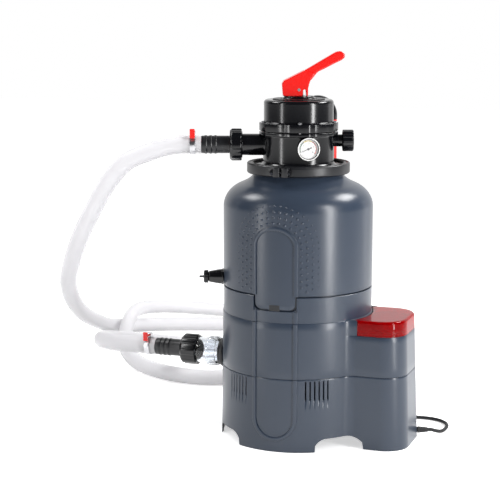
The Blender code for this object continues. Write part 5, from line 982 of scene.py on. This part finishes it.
NUT_LOBES = (8, 0.0016, 0.028, 0)
valve_left, base_left = turned_by(LEFT), LEFT
at_port, at_suction = (0, 0, PORT_Z), (0, 0, SUCTION_Z)
for name, origin, out, start, bare, nut_start, nut_length in (
    ("return", at_port, valve_left, 0.1253, 0.0643, 0.1133, 0.024),
    ("suction", at_suction, base_left, 0.2383, 0.068, 0.2153, 0.0345),
):
    skin(name + "_tail", turned(tail_profile(start, bare), origin, out, 0.0005, 96), satin_black)
    nut = turned(
        nut_profile(nut_start, nut_length, 0.0276, 0.0187), origin, out, 0.0008, 256, lobes=NUT_LOBES
    )
    skin(name + "_nut", nut, polished_black)

# %% Turned pieces at the ports
DRAIN_Z = 0.324
at_waste, at_drain, valve_right = (0, 0, WASTE_Z), (0, 0, DRAIN_Z), turned_by(RIGHT)
inlet_profile = [
    (0.016, 0.13), (0.019, 0.13), (0.019, 0.1534), (0.032, 0.1534), (0.032, 0.1586), (0.0285, 0.1621),
    (0.028, 0.1657), (0.016, 0.1657),
]
tube_profile = [
    (0.0215, 0.166), (0.027, 0.166), (0.027, 0.2135), (0.0265, 0.215), (0.0265, 0.238), (0.0215, 0.238),
]
waste_profile = [
    (0, 0.1033), (0.0176, 0.1033), (0.0176, 0.09), (0.0205, 0.0875), (0.0215, 0.089), (0.0215, 0.1075),
    (0.0205, 0.1093), (0.0185, 0.1095), (0, 0.1095),
]
drain_profile = [
    (0.004, 0.144), (0.009, 0.144), (0.009, 0.1503), (0.0165, 0.1503), (0.0165, 0.153), (0.015, 0.1535),
    (0.0146, 0.16), (0.011, 0.1795), (0.008, 0.1815), (0.008, 0.1875), (0.004, 0.1875),
]
drain_cap_profile = [
    (0, 0.1878), (0.0083, 0.1878), (0.0083, 0.1815), (0.013, 0.1815), (0.013, 0.1885), (0.011, 0.1905),
    (0.003, 0.1905), (0.002, 0.1915), (0.002, 0.1985), (0.0012, 0.1995), (0, 0.1995),
]
PORT_PIECES = (  # node, finish, profile, place, direction, edge, steps, closed, lobes
    ("suction_inlet", satin_black, inlet_profile, at_suction, base_left, 0.0008, 128, True, None),
    ("sight_tube", clear_pc, tube_profile, at_suction, base_left, 0.0006, 128, True, None),
    (
        "sight_nut", clear_pc, rectangle(0.0281, 0.0306, 0.171, 0.192),
        at_suction, base_left, 0.0005, 320, True, (20, 0.001, 0.0291, 0),
    ),
    (
        "waste_cap", polished_black, waste_profile,
        at_waste, valve_right, 0.0006, 240, False, (12, 0.0009, 0.0203, 0),
    ),
    ("drain_body", polished_black, drain_profile, at_drain, valve_left, 0.0006, 96, True, None),
    (
        "drain_cap", satin_black, drain_cap_profile,
        at_drain, valve_left, 0.0005, 192, False, (16, 0.0006, 0.0122, 0),
    ),
)
for node, look, *shape in PORT_PIECES:
    skin(node, turned(*shape), look)

# %% Hose clamps
BAND = rectangle(0.0183, 0.0195, -0.0055, 0.0055)
for name, origin, out, at in (
    ("return_clamp_band", at_port, valve_left, 0.2114), ("suction_clamp_band", at_suction, base_left, 0.3281)
):
    side, up = np.cross((0, 0, 1), out), np.array([0, 0, 1.0])
    centre = np.array(origin) + out * at
    grids = turned(BAND, centre, out, 0.0003, 96)
    housing = rectangle(-0.006, 0.006, 0.0189, 0.0273)
    grids += slab(housing, -0.0055, 0.0055, 0.0008, (side, up, out), centre, corner=0.0022)
    skin(name, grids, zinc)

# %% [markdown]
# ## The riser
# Behind the tank the pump's red riser comes up, turns over through a swan neck and enters the valve from
# behind. Only the top of it shows from the front.

# %% Riser, elbow and swan neck
RISER_TOP_Z, SWAN_Z, RISER_LOW_Z = 0.63, 0.639, 0.207
riser_section = rectangle(0.014, 0.0175, RISER_LOW_Z, RISER_TOP_Z)
riser = turned(riser_section, turned_by((RISER_X, RISER_Y, 0)), radius=0.0006, steps=64)
skin("riser_hose", riser, red_hose)
bend, flat_end = 0.034, math.hypot(SWAN_X, RISER_Y) - 0.034
a = np.linspace(0, math.pi / 2, 24)[:, None]
elbow = flat_end * pump_side + bend * (np.sin(a) * pump_side + (1 - np.cos(a)) * (0, 0, 1)) + (0, 0, PORT_Z)
level_part = [reach * pump_side + (0, 0, PORT_Z) for reach in (0.1003, flat_end)]
elbow = np.concatenate([level_part, elbow[1:], [(SWAN_X, RISER_Y, RISER_TOP_Z)]])
across = (pump_side[1], -pump_side[0], 0)
skin("valve_elbow", in_valve(tube(elbow, PIPE_RADIUS, across, 48, PIPE_BORE)), polished_black)
a = np.linspace(math.pi, 0, 48)
middle, half = (SWAN_X + RISER_X) / 2, (RISER_X - SWAN_X) / 2
swan = np.stack([middle + half * np.cos(a), np.full(48, RISER_Y), SWAN_Z + half * np.sin(a)], -1)
ends = [(x, RISER_Y, RISER_TOP_Z + GAP) for x in (SWAN_X, RISER_X)]
swan = np.concatenate([ends[:1], swan, ends[1:]])
skin("swan_neck", in_valve(tube(swan, PIPE_RADIUS, (0, 1, 0), 48, PIPE_BORE)), polished_black)

# %% [markdown]
# ## The gauge
# The dial is printed: arcs of three colours, ticks each 24 degrees and the numbers 0 to 4. Ink is thin, so
# each print lies a tenth of a millimetre above the dial. Text is made into a mesh before it is placed.

# %% Gauge
GAUGE_ANGLE, GAUGE_Z, VALVE_RADIUS = math.radians(12), 0.59, 0.071
DIAL_FACE, SCALE_START, TICK_STEP = 0.0073, 203, 24  # metres, then degrees
gauge_out = turned_by((math.sin(GAUGE_ANGLE), -math.cos(GAUGE_ANGLE), 0))
gauge_right = turned_by((math.cos(GAUGE_ANGLE), math.sin(GAUGE_ANGLE), 0))
gauge_axes = np.stack([gauge_right, (0, 0, 1), gauge_out])
gauge_at = gauge_out * VALVE_RADIUS + (0, 0, GAUGE_Z)
case = [
    (0, -0.009), (0.005, -0.009), (0.005, 0.0015), (0.019, 0.0015), (0.0212, 0.003), (0.022, 0.005),
    (0.022, 0.0125), (0.021, 0.0135), (0.0204, 0.0135), (0.0204, 0.0107), (0.0189, 0.0107),
    (0.0189, 0.0095), (0.0204, 0.0095), (0.0204, 0.006), (0, 0.006),
]
bezel = [(0.0203, 0.013), (0.0222, 0.013), (0.0222, 0.0137), (0.0218, 0.0141), (0.0203, 0.0137)]
show("gauge_bezel", turned(bezel, gauge_at, gauge_out, 0.0002, 96), white_abs, "gauge_case", body="unit")
hub = [(0, 0.0087), (0.0024, 0.0087), (0.0024, 0.0093), (0, 0.0096)]
hub_grids = turned(hub, gauge_at, gauge_out, 0.0002, 32, closed=False)
show("needle_hub", hub_grids, satin_black, "gauge_needle", body=node_body["gauge_needle"])
skin("gauge_case", turned(case, gauge_at, gauge_out, 0.0005, 96, closed=False), polished_black)
dial_profile = rectangle(0.0013, 0.0201, 0.0063, DIAL_FACE)
skin("gauge_dial", turned(dial_profile, gauge_at, gauge_out, 0.0002, 96), dial_white)
lens_profile = [(0, 0.011), (0.0201, 0.011), (0.0201, 0.0121), (0.015, 0.0125), (0, 0.0127)]
skin("gauge_lens", turned(lens_profile, gauge_at, gauge_out, 0.0002, 96, closed=False), lens_clear)


def on_dial(u, v, lift=0.0001):
    """Points of the dial's plane in place: right, up and a little above the print's ground."""
    uvw = np.stack([u, v, np.full(np.shape(u), DIAL_FACE + lift)], -1)
    return gauge_at + uvw @ gauge_axes


arcs = (
    ("dial_arc_low", "#3f6a52", SCALE_START, 123), ("dial_arc_middle", "#d8b93c", 123, 63),
    ("dial_arc_high", "#c8392c", 63, -37)
)
for name, colour, start, end in arcs:
    a = np.radians(np.linspace(start, end, 40))
    r = np.array([0.0152, 0.0172])[:, None]
    ink = finish(name, colour, 0.5, darker=0.95)
    show(name, [(on_dial(r * np.cos(a), r * np.sin(a)), False, False, None)], ink, "gauge_dial", body="unit")
ticks = []
for number in range(11):
    a = math.radians(SCALE_START - TICK_STEP * number)
    r = np.array([[0.0146], [0.018]])
    side = np.array([[-0.00022, 0.00022]])
    u, v = r * math.cos(a) - side * math.sin(a), r * math.sin(a) + side * math.cos(a)
    ticks.append((on_dial(u, v, 0.00018), False, False, None))
show("dial_ticks", ticks, satin_black, "gauge_dial", body="unit")


def printed(text, u, v, size):
    """Text as a mesh lying on the dial, with its middle at (u, v)."""
    curve = bpy.data.curves.new("number_" + text, "FONT")
    curve.body, curve.size = text, size
    curve.align_x, curve.align_y = "CENTER", "CENTER"
    shape = bpy.data.objects.new("number_" + text, curve)
    bpy.context.scene.collection.objects.link(shape)
    bpy.context.view_layer.update()
    mesh = bpy.data.meshes.new_from_object(shape.evaluated_get(bpy.context.evaluated_depsgraph_get()))
    bpy.data.objects.remove(shape)
    flat = np.empty(len(mesh.vertices) * 3)
    mesh.vertices.foreach_get("co", flat)
    flat = flat.reshape(-1, 3)
    mesh.vertices.foreach_set("co", on_dial(flat[:, 0] + u, flat[:, 1] + v, 0.0002).ravel())
    mesh.update()
    made = bpy.data.objects.new("dial_number_" + text, mesh)
    bpy.context.scene.collection.objects.link(made)
    made.data.materials.append(satin_black)
    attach(made, "unit")


for number in range(5):
    a = math.radians(SCALE_START - 2.5 * TICK_STEP * number)
    printed(str(number), 0.0112 * math.cos(a), 0.0112 * math.sin(a), 0.0052)

# %% [markdown]
# ## Stage and lamps
# A white sweep holds the shadow. Camera rays see the floor a little brighter than it is, so that it reaches
# white away from the shadow, and the world is white only where the camera or a clear part looks at it.

# %% Floor


def seen_rays(tree, kinds=("Is Camera Ray", "Is Transmission Ray", "Is Glossy Ray")):
    """1 for the kinds of ray that look at a surface, else 0: the largest of the given outputs."""
    path = add_node(tree, "ShaderNodeLightPath")
    largest = path.outputs[kinds[0]]
    for kind in kinds[1:]:
        largest = add_node(
            tree, "ShaderNodeMath", {"operation": "MAXIMUM"}, {0: largest, 1: path.outputs[kind]}
        ).outputs[0]
    return largest


floor_look = bpy.data.materials.new("pale_floor")
floor_look.use_nodes = True
tree = floor_look.node_tree
tree.nodes.clear()
plain = add_node(tree, "ShaderNodeBsdfDiffuse", {"Color": (0.55, 0.55, 0.55, 1)})
bright = add_node(tree, "ShaderNodeBsdfDiffuse", {"Color": (0.95, 0.95, 0.95, 1)})
glow = add_node(tree, "ShaderNodeEmission", {"Color": (1, 1, 1, 1), "Strength": 0.56})
both = add_node(tree, "ShaderNodeAddShader", {}, {0: bright.outputs[0], 1: glow.outputs[0]})
# A mix shader's inputs are its factor, then the look at 0 and the look at 1.
factors = {0: seen_rays(tree), 1: plain.outputs[0], 2: both.outputs[0]}
choice = add_node(tree, "ShaderNodeMixShader", {}, factors)
add_node(tree, "ShaderNodeOutputMaterial", {}, {"Surface": choice.outputs[0]})
span = np.linspace(-9, 9, 2)
x, y = np.meshgrid(span, span, indexing="ij")
floor = bpy.data.objects.new(
    "floor", mesh_of("floor", [(np.stack([x, y, np.full_like(x, -0.0002)], -1), False, False, None)])
)
bpy.context.scene.collection.objects.link(floor)
if floor.data.polygons[0].normal.z < 0:
    floor.data.flip_normals()
floor.data.materials.append(floor_look)

world = bpy.data.worlds.new("white_room")
world.use_nodes = True
bpy.context.scene.world = world
tree = world.node_tree
ambient = tree.nodes["Background"]
ambient.inputs["Color"].default_value = (1, 1, 1, 1)
ambient.inputs["Strength"].default_value = 0.5
white = add_node(tree, "ShaderNodeBackground", {"Color": (1, 1, 1, 1), "Strength": 1.0})
looked = seen_rays(tree, ("Is Camera Ray", "Is Transmission Ray"))
# A glossy ray sees the white backdrop where it runs away from the camera, and the dim room on its side.
towards = add_node(tree, "ShaderNodeTexCoord").outputs["Generated"]
away = add_node(tree, "ShaderNodeVectorMath", {"operation": "DOT_PRODUCT"}, {0: towards})
away.inputs[1].default_value = (-math.sin(VALVE_TURN), math.cos(VALVE_TURN), 0)
ramp = {"interpolation_type": "SMOOTHSTEP", "From Min": 0.35, "From Max": 0.85}
behind = add_node(tree, "ShaderNodeMapRange", ramp, {"Value": away.outputs["Value"]})
tones = {"Color1": (0.06, 0.06, 0.065, 1), "Color2": (1, 1, 1, 1)}
room = add_node(tree, "ShaderNodeMixRGB", tones, {"Fac": behind.outputs[0]})
mirrored = add_node(tree, "ShaderNodeBackground", {"Strength": 1.0}, {"Color": room.outputs[0]})
factors = {0: seen_rays(tree, ("Is Glossy Ray",)), 1: ambient.outputs[0], 2: mirrored.outputs[0]}
glossy = add_node(tree, "ShaderNodeMixShader", {}, factors)
factors = {0: looked, 1: glossy.outputs[0], 2: white.outputs[0]}
choice = add_node(tree, "ShaderNodeMixShader", {}, factors)
tree.links.new(choice.outputs[0], tree.nodes["World Output"].inputs["Surface"])

# %% Lamps


def softbox(name, azimuth, height, distance, size, power):
    """A square-edged lamp aimed at the middle of the tank. Azimuth counts from the camera's side."""
    data = bpy.data.lights.new(name, "AREA")
    data.shape, data.size, data.size_y, data.energy = "RECTANGLE", size[0], size[1], power
    lamp = bpy.data.objects.new(name, data)
    bpy.context.scene.collection.objects.link(lamp)
    turn = math.radians(azimuth) + VALVE_TURN - math.pi / 2
    lamp.location = (distance * math.cos(turn), distance * math.sin(turn), height)
    aim = Vector((0, 0, 0.35)) - lamp.location
    lamp.rotation_euler = aim.to_track_quat("-Z", "Y").to_euler()
    lamp.visible_camera = lamp.visible_transmission = False


softbox("right_box", 46, 0.75, 1.7, (0.26, 1.5), 27)
softbox("left_box", -58, 0.75, 1.7, (0.16, 1.5), 8)
softbox("upper_left_box", -104, 1.8, 1.3, (0.6, 0.5), 12)
softbox("upper_right_box", 104, 1.7, 1.3, (0.8, 0.5), 24)
softbox("low_right_box", 118, 0.5, 1.5, (0.4, 0.9), 0.8)
